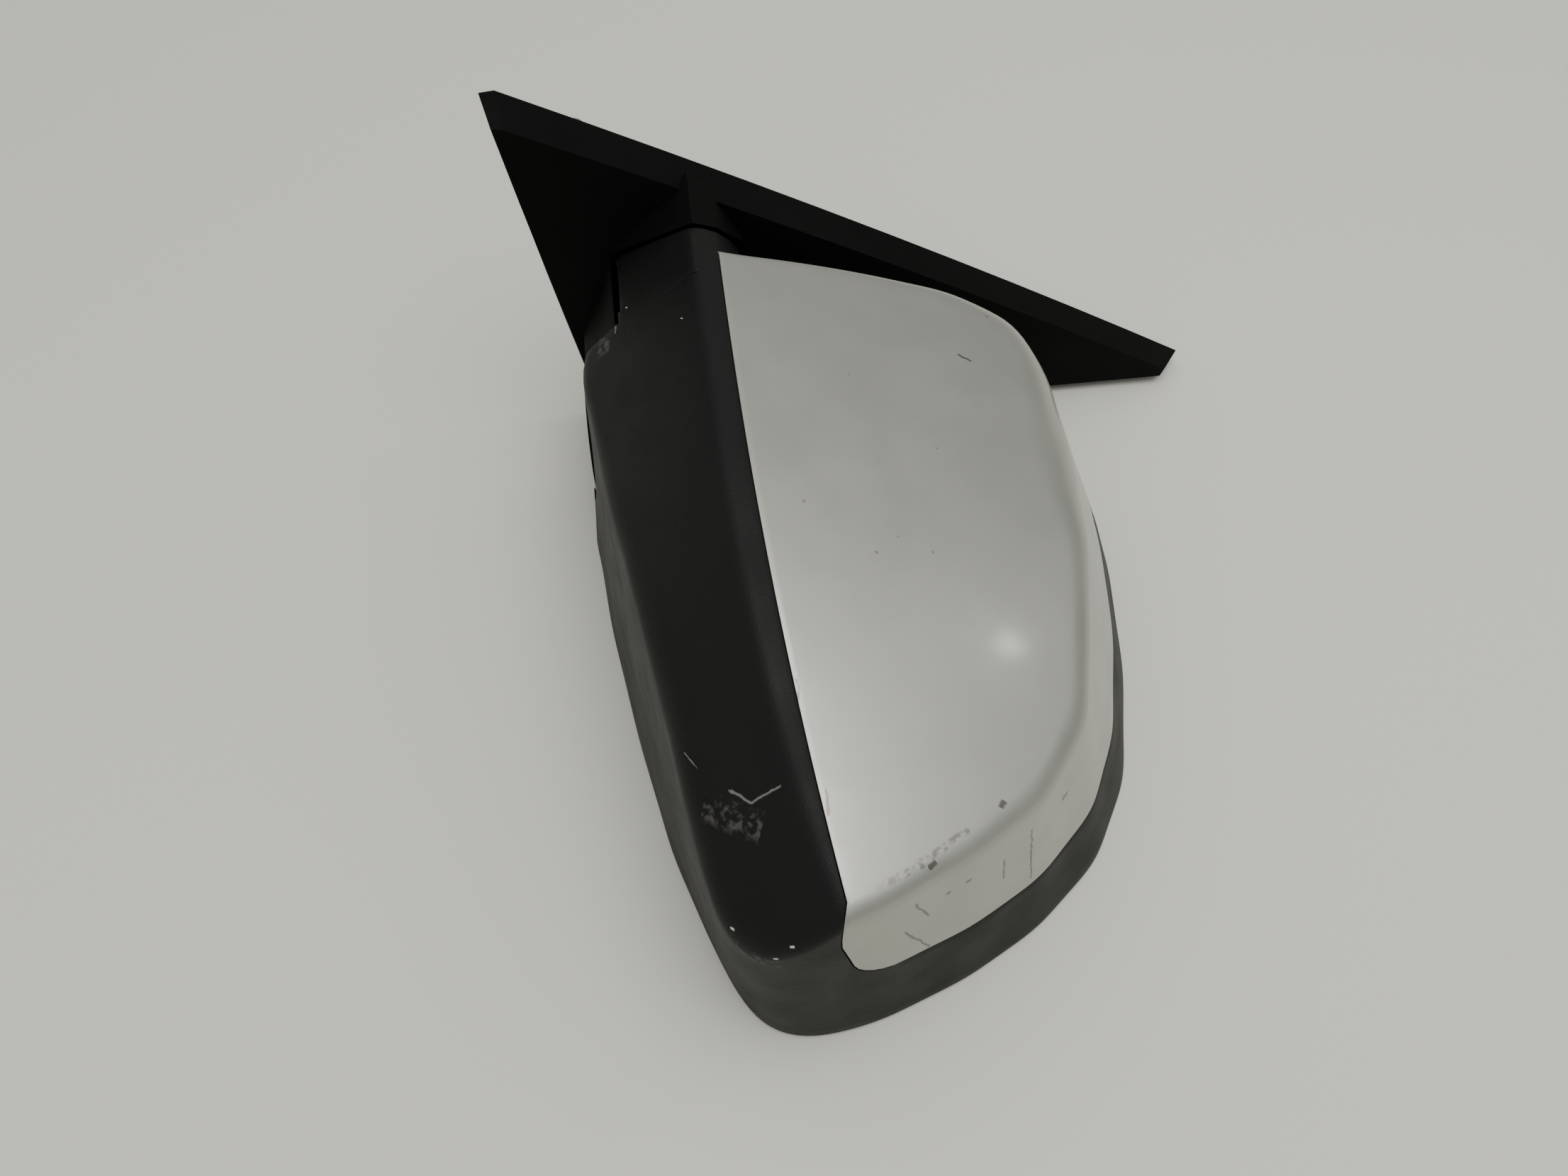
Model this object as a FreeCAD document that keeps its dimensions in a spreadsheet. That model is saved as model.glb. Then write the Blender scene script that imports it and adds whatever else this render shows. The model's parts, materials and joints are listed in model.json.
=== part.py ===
"""Left-hand car door mirror, upright as it is mounted.

Frame: +X points to the door, +Y ahead along the car (the glass faces -Y), +Z up.
The origin is the centre of the three mounting studs on the door face, X = 0.

Most places are easier to say in three working distances, which at() turns into the frame:
  out    distance outboard of the base's outer face
  up     height above the base's lower rear corner
  ahead  distance in front of the plane of the housing's rear rim
"""
import FreeCAD, Part
import math
import os
from FreeCAD import Placement, Rotation, Vector

os.makedirs("parts", exist_ok=True)
doc = FreeCAD.newDocument("door_mirror")

# ---------------------------------------------------------------- driving dimensions
DIMENSIONS = [
    ("base_depth", 12.0, "door face to the base's outer face"),
    ("origin_up", 50.0, "stud centre above the base's lower rear corner"),
    ("origin_ahead", 60.0, "stud centre ahead of the rim plane"),
    ("skin", 3.0, "wall of the housing and of the base cover"),
    ("cap_skin", 2.4, "wall of the painted cap"),
    ("seam", 0.8, "gap round the cap"),
    ("fold_gap", 1.5, "gap between fixed and folding mouldings"),
    ("pivot_out", 38.0, "fold axis outboard of the base face"),
    ("pivot_ahead", 45.0, "fold axis ahead of the rim plane"),
    ("tube_radius", 12.0, "pivot tube, outside"),
    ("tube_bore", 8.5, "pivot tube, inside"),
    ("tube_length", 46.0, "pivot tube"),
    ("hub_radius", 17.5, "hub of the housing frame"),
    ("running", 0.06, "radial clearance of a running fit"),
    ("foot_top", 11.0, "top of the fixed foot above the lower rear corner"),
    ("foot_bottom", -2.0, "underside of the fixed foot"),
    ("stud_radius", 3.0, "mounting stud"),
    ("stud_length", 20.0, "stud beyond the door face"),
    ("stud_clinch", 0.4, "extra radius of a stud's knurl inside the plate"),
    ("glass_out", 138.0, "centre of the glass, outboard"),
    ("glass_up", 86.0, "centre of the glass, up"),
    ("glass_ahead", 8.0, "rear face of the glass ahead of the rim plane"),
    ("glass_thickness", 2.0, "mirror glass"),
    ("gimbal_ahead", 20.0, "tilt and pan axes ahead of the rim plane"),
    ("case_ahead", 29.0, "rear face of the actuator"),
    ("case_radius", 50.0, "actuator drum"),
    ("case_length", 21.0, "actuator drum"),
    ("drive_arm", 34.0, "jackscrew to the glass centre"),
    ("wheel_pitch_radius", 8.0, "worm wheel"),
    ("wheel_teeth", 20.0, "teeth of a worm wheel"),
    ("worm_radius", 2.7, "worm, over the thread"),
    ("worm_distance", 10.45, "worm axis to wheel axis"),
    ("plate", 4.0, "plate of the housing frame and of the bracket"),
]
sheet = doc.addObject("Spreadsheet::Sheet", "Sizes")
for row, (alias, value, meaning) in enumerate(DIMENSIONS, start=1):
    sheet.set("A%d" % row, meaning)
    sheet.set("B%d" % row, str(value))
    sheet.setAlias("B%d" % row, alias)
doc.recompute()


def size(alias):
    return float(sheet.get(alias))


BASE_DEPTH = size("base_depth")
SKIN = size("skin")
SEAM = size("seam")
GAP = size("fold_gap")
PIVOT_OUT = size("pivot_out")
PIVOT_AHEAD = size("pivot_ahead")
GLASS_OUT = size("glass_out")
GLASS_UP = size("glass_up")
GIMBAL_AHEAD = size("gimbal_ahead")
CASE_AHEAD = size("case_ahead")
CASE_RADIUS = size("case_radius")
CASE_FRONT = CASE_AHEAD + size("case_length")
ARM = size("drive_arm")
RUNNING = size("running")
FOOT_TOP = size("foot_top")
FOOT_BOTTOM = size("foot_bottom")


def at(out, up, ahead):
    """A point of the frame from the three working distances."""
    return Vector(-BASE_DEPTH - out, ahead - size("origin_ahead"), up - size("origin_up"))


PIVOT = at(PIVOT_OUT, 0, PIVOT_AHEAD)
NODES = []


def keep(obj, label):
    """Name an object as a sub-part that is written out."""
    obj.Label = label
    NODES.append(obj)
    return obj


def feature(label, shape):
    """A sub-part whose shape is worked out here."""
    obj = doc.addObject("Part::Feature", label)
    place = shape.Placement
    obj.Shape = shape
    obj.Placement = place
    return keep(obj, label)


def bind(obj, **sizes):
    for name, expression in sizes.items():
        obj.setExpression(name, expression)
    return obj


def fused(shapes):
    return shapes[0].multiFuse(shapes[1:]).removeSplitter() if len(shapes) > 1 else shapes[0]


def rod(start, end, radius):
    """A plain cylinder between two points."""
    along = end - start
    return Part.makeCylinder(radius, along.Length, start, along)


def block(low, high):
    """A box between two opposite corners, in any order."""
    corner = Vector(min(low.x, high.x), min(low.y, high.y), min(low.z, high.z))
    return Part.makeBox(abs(high.x - low.x), abs(high.y - low.y), abs(high.z - low.z), corner)


# ---------------------------------------------------------------- outer form of the housing
# Plan of the housing at the rim plane and at shoulder height, as (out, up) pairs that go
# round the same way: low side, tip, top side, inner end. The walls are straight between them.
SHOULDER_AHEAD = 70.0
RIM_PLAN = [(46, -6.5), (93, -2.3), (140, 4.9), (182, 13.3), (212, 23), (230, 30.3), (241, 38.5),
            (245, 52), (242.5, 72), (232.6, 101), (219.4, 126.5), (200, 150), (173, 166.4),
            (132, 176.9), (88, 182.5), (58, 183), (42, 172), (38.5, 145), (38.5, 90), (38.5, 35),
            (38.5, 4)]
SHOULDER_PLAN = [(42, 3.5), (93, 6.5), (140, 12), (182, 18), (213, 23), (231, 27.5), (240, 36),
                 (242, 50), (237.5, 69), (223.7, 98), (209, 120), (187, 137), (160, 145.5),
                 (125, 153.3), (86, 156.5), (55, 155), (37, 146), (31, 125), (31, 82), (31, 44),
                 (31.5, 12)]
INNER_END_OUT = 15.0
TIP_OUT = 238.0
RIDGE_TOP = 117.0
RIDGE_DROP = 32.0
RIDGE_UP = 39.0
CAP_EDGE_UP = 46.6


def along_length(out):
    """0 at the inner end of the ridge, 1 near the tip."""
    return max(0.0, (out - INNER_END_OUT) / (TIP_OUT - INNER_END_OUT))


def ridge(out):
    """Height up and distance ahead of the ridge line."""
    share = along_length(out)
    return RIDGE_UP + 20 * share ** 3.2, RIDGE_TOP - RIDGE_DROP * share ** 2.6


def cap_edge(out):
    """Height up of the cap's lower edge."""
    return CAP_EDGE_UP + 13.4 * along_length(out) ** 2.6


def upper_face(out, up):
    """The crowned face that the cap covers."""
    ridge_up, ridge_ahead = ridge(out)
    rise = up - ridge_up
    return ridge_ahead - 0.22 * rise - 0.0006 * rise * abs(rise)


def lower_face(out, up):
    """The steep face below the ridge."""
    ridge_up, ridge_ahead = ridge(out)
    fall = ridge_up - up
    slope = 0.90 - 0.22 * along_length(out) ** 2
    return ridge_ahead - slope * fall - 0.002 * fall * abs(fall)


def closed_spline(points):
    curve = Part.BSplineCurve()
    curve.interpolate(points, PeriodicFlag=True)
    return curve


def plan_wire(ahead, inset):
    """The plan at one distance ahead, moved inwards by inset, as a closed wire."""
    share = ahead / SHOULDER_AHEAD
    points = []
    for (rim_out, rim_up), (top_out, top_up) in zip(RIM_PLAN, SHOULDER_PLAN):
        points.append(at(rim_out + (top_out - rim_out) * share, rim_up + (top_up - rim_up) * share, ahead))
    curve = closed_spline(points)
    if inset:
        centre = at(GLASS_OUT, GLASS_UP, ahead)
        moved = []
        for point in points:
            tangent = curve.tangent(curve.parameter(point))[0]
            inward = tangent.cross(Vector(0, 1, 0)).normalize()
            if inward.dot(centre - point) < 0:
                inward = inward.negative()
            moved.append(point + inward * inset)
        curve = closed_spline(moved)
    return Part.Wire(curve.toShape())


def under_face(face, inset, reach=400.0):
    """The solid behind one of the two front faces, lowered by inset."""
    rows = []
    for out in (-20, 15, 60, 100, 140, 170, 195, 215, 230, 245, 262):
        rows.append([at(out, up, face(out, up) - inset) for up in (-60, -20, 20, 60, 100, 140, 180, 230)])
    surface = Part.BSplineSurface()
    surface.interpolate(rows)
    return surface.toShape().extrude(Vector(0, -reach, 0))


def housing_form(inset, rear=0.0):
    """The closed outer form, drawn in by inset; rear is where it starts behind or ahead of the rim."""
    walls = Part.makeLoft([plan_wire(rear, inset), plan_wire(RIDGE_TOP + 8, inset)], True, True)
    return walls.common(under_face(upper_face, inset)).common(under_face(lower_face, inset))


def stub_section(out, inset):
    """Section of the neck stub, across the fold axis, as a closed wire."""
    ridge_up, ridge_ahead = ridge(out)
    ridge_ahead -= inset
    floor_up = FOOT_TOP + GAP
    corners = [(floor_up + inset, 6 + inset), (floor_up + inset, lower_face(out, floor_up) - inset * 1.3),
               (ridge_up, ridge_ahead), (52 - inset, ridge_ahead - 14), (62 - inset, 78), (66 - inset, 20),
               (62 - inset, 6 + inset)]
    points = [at(out, up, ahead) for up, ahead in corners]
    return Part.makePolygon(points + points[:1])


def stub(inset):
    """The neck stub of the housing: it wraps the fold axis between the shell and the base."""
    body = Part.makeLoft([stub_section(-4, inset), stub_section(45 + inset, inset)], True, True)
    near = PIVOT_OUT - GAP - inset
    behind = rod(at(PIVOT_OUT, -40, PIVOT_AHEAD), at(PIVOT_OUT, 240, PIVOT_AHEAD), near)
    ahead = block(at(PIVOT_OUT - near, -40, PIVOT_AHEAD), at(60, 240, 140))
    outboard = block(at(PIVOT_OUT, -40, -5), at(60, 240, 140))
    body = body.common(fused([behind, ahead, outboard]))
    return body.cut(collar_side(GAP + inset))


def collar_side(extra=0.0):
    """Everything on the door's side of the upright plane between collar and stub."""
    start = at(0, -60, 93)
    end = at(15, -60, 117)
    along = (end - start).normalize()
    outward = Vector(0, 0, 1).cross(along)
    if outward.dot(at(1, 0, 0) - at(0, 0, 0)) < 0:
        outward = outward.negative()
    near = start - along * 200 + outward * extra
    far = start + along * 200 + outward * extra
    wire = Part.makePolygon([near, far, far - outward * 300, near - outward * 300, near])
    return Part.Face(wire).extrude(Vector(0, 0, 320))


FOOT_TURN = 22.0


def foot_space(extra):
    """The space below the seam that the fixed foot keeps, with the room round it."""
    top = FOOT_TOP + extra
    turn = rod(at(PIVOT_OUT, -60, PIVOT_AHEAD), at(PIVOT_OUT, top, PIVOT_AHEAD), FOOT_TURN + extra)
    front = block(at(-5, -60, PIVOT_AHEAD), at(30 + extra, top, 130))
    rear = block(at(-5, -60, PIVOT_AHEAD - 24 - extra), at(PIVOT_OUT, top, PIVOT_AHEAD))
    return fused([turn, front, rear])


def behind_fold():
    """Room for the folded housing: nothing of it starts nearer the door behind the axis."""
    return block(at(-5, -60, -5), at(PIVOT_OUT, FOOT_TOP + GAP, PIVOT_AHEAD - 24))


# ---------------------------------------------------------------- housing shell and cap
def cap_space(extra):
    """The part of the form that the cap covers, larger by extra."""
    edge = [at(out, cap_edge(out) - extra, 0) for out in (25, 70, 110, 150, 190, 220, 243, 270)]
    curve = Part.BSplineCurve()
    curve.interpolate(edge)
    corner_a = at(270, 260, 0)
    corner_b = at(25, 260, 0)
    outline = Part.Wire([curve.toShape(), Part.makeLine(edge[-1], corner_a),
                         Part.makeLine(corner_a, corner_b), Part.makeLine(corner_b, edge[0])])
    prism = Part.Face(outline).extrude(Vector(0, 160, 0))
    seam_rise = [at(out, up, 27.9 + 0.066 * out - 0.067 * up - extra)
                 for out, up in ((-20, -40), (320, -40), (320, 280), (-20, 280))]
    seam_plane = Part.Face(Part.makePolygon(seam_rise + seam_rise[:1])).extrude(Vector(0, 200, 0))
    inner_end = block(at(28.5 - extra, -60, -20), at(320, 280, 200))
    return prism.common(seam_plane).common(inner_end)


CAP_SKIN = size("cap_skin")
outer = housing_form(0.0)
wall_inner = housing_form(SKIN, -8)
cap_inner = housing_form(CAP_SKIN, -8)
deep_inner = housing_form(SKIN + CAP_SKIN, -8)
cap = outer.cut(cap_inner).common(cap_space(0.0)).cut(stub(-SEAM))

skin_part = outer.fuse(stub(0.0)).cut(wall_inner).cut(stub(SKIN)).cut(cap_space(SEAM))
under_cap = wall_inner.cut(deep_inner).common(cap_space(SEAM + 5)).cut(stub(SKIN))
LIP_WIDTH = 12.0
lip = housing_form(0.5).cut(housing_form(LIP_WIDTH, -8)).common(block(at(-50, -60, 0.0), at(300, 260, 2.5)))
room = fused([foot_space(GAP), behind_fold()])
POST_START = size("case_ahead") + size("case_length") + size("plate") - 0.5
POST_RADIUS = 5.0
FRAME_SCREWS = [(72, 78), (100, 128), (193, 90), (150, 30)]
FRAME_SCREW = 2.2
posts = []
for out, up in FRAME_SCREWS:
    post = rod(at(out, up, POST_START), at(out, up, 130), POST_RADIUS).common(wall_inner)
    posts.append(post.cut(rod(at(out, up, POST_START - 1), at(out, up, POST_START + 12), FRAME_SCREW + 0.1)))
hub_room = rod(at(PIVOT_OUT, FOOT_TOP - 1, PIVOT_AHEAD), at(PIVOT_OUT, FOOT_TOP + 26, PIVOT_AHEAD),
               size("hub_radius") + 1.0)
arm_room = block(at(PIVOT_OUT, FOOT_TOP + 4.4, 37), at(66, FOOT_TOP + 24.4, 55))
shell = fused([skin_part, under_cap, lip] + posts).cut(fused([room, hub_room, arm_room]))
feature("housing_shell", max(shell.Solids, key=lambda solid: solid.Volume))
feature("cap", max(cap.Solids, key=lambda solid: solid.Volume))

# ---------------------------------------------------------------- base: cover, seal, bracket, studs
# Door-side outline of the base, as (up, ahead): belt edge, pillar edge, rear edge.
FRONT_TIP = (-22.5, 152.0)
LOWER_REAR = (-1.0, 1.0)
UPPER_REAR = (234.0, 1.0)
PILLAR_MIDDLE = (100.6, 86.6)
BELT_MIDDLE = (-15.6, 98.3)
FLARE = 3.0


def base_outline(out, inset):
    """Triangular outline of the base at one depth, drawn in by inset, with blunt tips."""
    def corner(up_ahead, up_shift, ahead_shift):
        return at(out, up_ahead[0] + up_shift * inset, up_ahead[1] + ahead_shift * inset)
    belt_start = corner(FRONT_TIP, 1.0, -1.5)
    belt_middle = corner(BELT_MIDDLE, 1.0, 0)
    low_rear = corner(LOWER_REAR, 1.0, 1.0)
    high_rear = corner(UPPER_REAR, -3.0, 1.0)
    tip_end = corner((UPPER_REAR[0] + 1, UPPER_REAR[1] + 4), -3.0, 0.9)
    pillar_middle = corner(PILLAR_MIDDLE, -0.53, -0.85)
    tip_start = corner((FRONT_TIP[0] + 5, FRONT_TIP[1] + 0.5), 0.6, -1.9)
    edges = [Part.Arc(belt_start, belt_middle, low_rear).toShape(), Part.makeLine(low_rear, high_rear),
             Part.makeLine(high_rear, tip_end), Part.Arc(tip_end, pillar_middle, tip_start).toShape(),
             Part.makeLine(tip_start, belt_start)]
    return Part.Wire(edges)


def base_block(near, far, near_inset, far_inset):
    """Solid of the base between two depths."""
    return Part.makeLoft([base_outline(near, near_inset), base_outline(far, far_inset)], True, True)


def collar(inset, start=-4.0):
    """The neck moulded on the base, as far as the seam with the stub."""
    foot_section = []
    end_section = []
    for section, out, grow in ((foot_section, start, 5.0), (end_section, 22.0, 0.0)):
        slip = grow - inset
        points = [(FOOT_BOTTOM + inset + 2, 24 + inset), (FOOT_BOTTOM + inset, 60),
                  (-1 + inset - grow * 0.4, 76 - inset * 0.5), (14, 92.5 + slip), (29, 107 + slip),
                  (39.5, 117 + slip), (47.5, 110 + slip), (57 + slip, 88), (60 + slip, 60), (58 - inset, 30)]
        section.extend(at(out, up, ahead) for up, ahead in points)
    wires = [Part.makePolygon(section + section[:1]) for section in (foot_section, end_section)]
    return Part.makeLoft(wires, True, True)


def foot(inset):
    """The fixed foot under the stub, round about the fold axis."""
    low = FOOT_BOTTOM + inset
    top = FOOT_TOP - inset
    turn = rod(at(PIVOT_OUT, low, PIVOT_AHEAD), at(PIVOT_OUT, top, PIVOT_AHEAD), FOOT_TURN - inset)
    arm = []
    for out, rear, front in ((-4, 20, 95), (30 - inset, 42, 86)):
        points = [(low, rear + inset), (low, 58), (low + 9, 78 - inset), (top, front - inset),
                  (top, rear + inset)]
        arm.append(Part.makePolygon([at(out, up, ahead) for up, ahead in points + points[:1]]))
    return turn.fuse(Part.makeLoft(arm, True, True))


SCREW_SPOTS = [(-2, 96), (96, 18), (90, 62)]
SCREW_RADIUS = 2.0
HEAD_DEPTH = 2.5
stub_swept = rod(at(PIVOT_OUT, FOOT_TOP, PIVOT_AHEAD), at(PIVOT_OUT, 240, PIVOT_AHEAD), PIVOT_OUT - 0.6)
collar_keep = collar_side(0.0)
collar_solid = collar(0.0).common(collar_keep).cut(stub_swept)
collar_hollow = collar(SKIN, -9.0).common(collar_side(-SKIN)).cut(stub_swept)
outer_skin = base_block(-BASE_DEPTH, 0, 0, FLARE)
inner_room = base_block(-BASE_DEPTH - 1, -SKIN, SKIN - 0.5, FLARE + SKIN)
cover = outer_skin.cut(inner_room)
cover = fused([cover, collar_solid, foot(0.0)])
low_room = foot(SKIN).common(block(at(-30, -60, -10), at(PIVOT_OUT + 40, FOOT_TOP - SKIN, 200)))
cover = cover.cut(low_room).cut(collar_hollow.common(block(at(-9, -60, 20), at(30, 100, 200))))
cover = cover.cut(inner_room)
tube_hole = rod(at(PIVOT_OUT, -2, PIVOT_AHEAD), at(PIVOT_OUT, FOOT_TOP + 2, PIVOT_AHEAD), 15.5)
cover = cover.cut(tube_hole)
for up, ahead in SCREW_SPOTS:
    post = rod(at(-SKIN + 0.5, up, ahead), at(-BASE_DEPTH + size("plate") + 0.1, up, ahead), 4.2)
    cover = cover.fuse(post).cut(rod(at(-BASE_DEPTH, up, ahead), at(-SKIN, up, ahead), SCREW_RADIUS))
feature("base_cover", max(cover.Solids, key=lambda solid: solid.Volume))


# ---------------------------------------------------------------- helpers for turned pieces and plates
def facing(direction):
    """Rotation that turns +Z to a direction."""
    return Rotation(Vector(0, 0, 1), direction)


def cylinder(name, radius, height, place, direction=Vector(0, 0, 1)):
    """A Part cylinder with its radius and height bound to the sheet."""
    obj = doc.addObject("Part::Cylinder", name)
    bind(obj, Radius=radius, Height=height)
    obj.Placement = Placement(place, facing(direction))
    return obj


def cut(name, base, tool):
    obj = doc.addObject("Part::Cut", name)
    obj.Base = base
    obj.Tool = tool
    return obj


def joined(name, objects):
    obj = doc.addObject("Part::MultiFuse", name)
    obj.Shapes = objects
    return obj


def ring(label, outer, inner, height, place, direction=Vector(0, 0, 1)):
    """A turned ring or bush as its own sub-part."""
    blank = cylinder(label + "_blank", outer, height, place, direction)
    hole = cylinder(label + "_bore", inner, height, place, direction)
    return keep(cut(label + "_cut", blank, hole), label)


def origin_plane(body, role):
    return next(plane for plane in body.Origin.OriginFeatures if plane.Role == role)


def turned(label, profile, place, direction=Vector(0, 0, 1)):
    """A PartDesign body turned from (radius, height) points about its own Z axis."""
    body = doc.addObject("PartDesign::Body", label)
    sketch = body.newObject("Sketcher::SketchObject", label + "_profile")
    sketch.AttachmentSupport = [(origin_plane(body, "XZ_Plane"), "")]
    sketch.MapMode = "FlatFace"
    for (r_start, z_start), (r_end, z_end) in zip(profile, profile[1:] + profile[:1]):
        sketch.addGeometry(Part.LineSegment(Vector(r_start, z_start, 0), Vector(r_end, z_end, 0)), False)
    turn = body.newObject("PartDesign::Revolution", label + "_turn")
    turn.Profile = sketch
    turn.ReferenceAxis = (sketch, ["V_Axis"])
    turn.Angle = 360.0
    body.Placement = Placement(place, facing(direction))
    return body


# ---------------------------------------------------------------- door side: seal, bracket, studs, grommet
SEAL = 1.6
seal_shape = base_block(-BASE_DEPTH, -BASE_DEPTH + SEAL, SKIN + 1.0, SKIN + 1.0)
seal_shape = seal_shape.cut(base_block(-BASE_DEPTH - 1, 0, SKIN + 5.0, SKIN + 5.0))
feature("base_seal", seal_shape)

STUD_SPOTS = [(4, 122), (24, 26), (122, 32)]
STUD_RADIUS = size("stud_radius")
CLINCH = size("stud_clinch")
PLATE = size("plate")
BRACKET_INSET = SKIN + 8.0
plate_shape = base_block(-BASE_DEPTH, -BASE_DEPTH + PLATE, BRACKET_INSET, BRACKET_INSET)
plate_shape = plate_shape.cut(block(at(-20, 146, -5), at(20, 300, 100)))
ARM_LOW = FOOT_BOTTOM + SKIN + 0.6
ARM_TOP = FOOT_TOP - SKIN - 0.6
arm_shape = block(at(-BASE_DEPTH + 1, ARM_LOW, 46.5), at(PIVOT_OUT, ARM_TOP, 66))
boss = rod(at(PIVOT_OUT, ARM_LOW, PIVOT_AHEAD), at(PIVOT_OUT, FOOT_TOP, PIVOT_AHEAD), 15.0)
webs = [block(at(-BASE_DEPTH + 1, ARM_TOP - 1, ahead), at(-4, 100, ahead + 3)) for ahead in (47, 61)]
GROMMET_SPOT = (60, 77)
GROMMET_BORE = 9.0
bracket = fused([plate_shape, arm_shape, boss] + webs)
bracket = bracket.common(base_block(-BASE_DEPTH, -SKIN - 0.4, BRACKET_INSET, BRACKET_INSET).fuse(
    block(at(-SKIN - 0.41, ARM_LOW, 0), at(90, FOOT_TOP, 100))))
tube_seat = rod(at(PIVOT_OUT, ARM_LOW - 1, PIVOT_AHEAD), at(PIVOT_OUT, FOOT_TOP + 1, PIVOT_AHEAD),
                size("tube_radius"))
GROMMET_BEAD = 11.0
BEAD_DEPTH = 2.4
door_side = at(-BASE_DEPTH - 1, *GROMMET_SPOT)
grommet_hole = rod(door_side, at(-BASE_DEPTH + PLATE + 1, *GROMMET_SPOT), GROMMET_BORE)
bead_room = rod(door_side, at(-BASE_DEPTH + BEAD_DEPTH, *GROMMET_SPOT), GROMMET_BEAD + 0.3)
bracket = bracket.cut(tube_seat).cut(grommet_hole).cut(bead_room)
for up, ahead in STUD_SPOTS:
    seat = rod(at(-BASE_DEPTH - 1, up, ahead), at(-BASE_DEPTH + PLATE + 2, up, ahead), STUD_RADIUS + CLINCH)
    flange = rod(at(-BASE_DEPTH + PLATE - 0.01, up, ahead), at(-BASE_DEPTH + PLATE + 2, up, ahead), 6.4)
    bracket = bracket.cut(seat).cut(flange)
for up, ahead in SCREW_SPOTS:
    bracket = bracket.cut(rod(at(-BASE_DEPTH - 1, up, ahead), at(0, up, ahead), SCREW_RADIUS))
    bracket = bracket.cut(rod(at(-BASE_DEPTH - 1, up, ahead), at(-BASE_DEPTH + HEAD_DEPTH, up, ahead), 3.8))
feature("base_bracket", max(bracket.Solids, key=lambda solid: solid.Volume))

studs = []
for number, (up, ahead) in enumerate(STUD_SPOTS, start=1):
    start = at(-BASE_DEPTH, up, ahead)
    shank = cylinder("stud_shank_%d" % number, "Sizes.stud_radius", "Sizes.stud_length",
                     start, Vector(1, 0, 0))
    knurl = cylinder("stud_knurl_%d" % number, "Sizes.stud_radius + Sizes.stud_clinch", "Sizes.plate",
                     start + Vector(-PLATE, 0, 0), Vector(1, 0, 0))
    head = cylinder("stud_head_%d" % number, "Sizes.stud_radius * 2", "Sizes.stud_radius * 0.5",
                    start + Vector(-PLATE, 0, 0), Vector(-1, 0, 0))
    studs.append(joined("stud_%d" % number, [shank, knurl, head]))
stud_group = doc.addObject("Part::Compound", "studs")
stud_group.Links = studs
keep(stud_group, "mounting_studs")


def pan_head_screw(spot, direction, length, radius, head_radius):
    """A screw whose head's underside is at spot; its shank points along direction."""
    shank = rod(spot - direction * 0.2, spot + direction * length, radius)
    head = rod(spot - direction * radius * 1.1, spot, head_radius)
    recess = rod(spot - direction * radius * 1.2, spot - direction * radius * 0.5, radius * 0.55)
    return shank.fuse(head).cut(recess)


outward = Vector(-1, 0, 0)
screws = [pan_head_screw(at(-BASE_DEPTH + HEAD_DEPTH, up, ahead), outward, 6.0, SCREW_RADIUS - 0.1, 3.4)
          for up, ahead in SCREW_SPOTS]
feature("cover_screws", Part.makeCompound(screws))

BEAD_START = PLATE - BEAD_DEPTH
GROMMET_END = PLATE - 0.3
grommet = turned("cable_grommet", [(5.0, -3.0), (12.0, -3.0), (12.0, 0.0), (GROMMET_BORE, 0.0),
                                   (GROMMET_BORE, BEAD_START), (GROMMET_BEAD, BEAD_START),
                                   (GROMMET_BEAD - 1.0, GROMMET_END), (5.0, GROMMET_END)],
                 at(-BASE_DEPTH + PLATE, *GROMMET_SPOT), Vector(1, 0, 0))
keep(grommet, "cable_grommet")

# ---------------------------------------------------------------- fold pivot
TUBE_BOTTOM = FOOT_BOTTOM + SKIN + 0.6
TUBE_RADIUS = size("tube_radius")
TUBE_TOP = TUBE_BOTTOM + size("tube_length")
HUB_BOTTOM = FOOT_TOP + 3.4
HUB_TOP = HUB_BOTTOM + 20.0


def on_axis(up):
    """A point of the fold axis."""
    return at(PIVOT_OUT, up, PIVOT_AHEAD)


ring("pivot_tube", "Sizes.tube_radius", "Sizes.tube_bore", "Sizes.tube_length", on_axis(TUBE_BOTTOM))

DETENT_TRACK = 14.6
detent = rod(on_axis(FOOT_TOP), on_axis(FOOT_TOP + 2.2), 17.0).cut(
    rod(on_axis(FOOT_TOP - 1), on_axis(FOOT_TOP + 3), TUBE_RADIUS))
BALL_RADIUS = 1.5
BALL_UP = FOOT_TOP + 2.9
track = Part.makeTorus(DETENT_TRACK, BALL_RADIUS + 0.15, on_axis(BALL_UP), Vector(0, 0, 1))
detent = detent.cut(track)
BALL_ANGLES = (30, 150, 270)
FOLD_LIMIT = 55
balls = []
for angle in BALL_ANGLES:
    arm = Rotation(Vector(0, 0, 1), angle).multVec(Vector(DETENT_TRACK, 0, 0))
    balls.append(Part.makeSphere(BALL_RADIUS, on_axis(BALL_UP) + arm))
    for detent_angle in (0, FOLD_LIMIT):
        pocket = Rotation(Vector(0, 0, 1), angle + detent_angle).multVec(Vector(DETENT_TRACK, 0, 0))
        detent = detent.cut(Part.makeSphere(BALL_RADIUS + 0.3, on_axis(BALL_UP) + pocket))
feature("detent_plate", detent)
feature("detent_balls", Part.makeCompound(balls))

BUSH_WALL = 1.2
bush_outer = TUBE_RADIUS + RUNNING + BUSH_WALL
hub_bush = turned("hub_bush", [(TUBE_RADIUS + RUNNING, 0), (bush_outer, 0), (bush_outer, 20.0),
                               (bush_outer + 2.4, 20.0), (bush_outer + 2.4, 21.2),
                               (TUBE_RADIUS + RUNNING, 21.2)],
                  on_axis(HUB_BOTTOM))
keep(hub_bush, "hub_bush")

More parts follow.
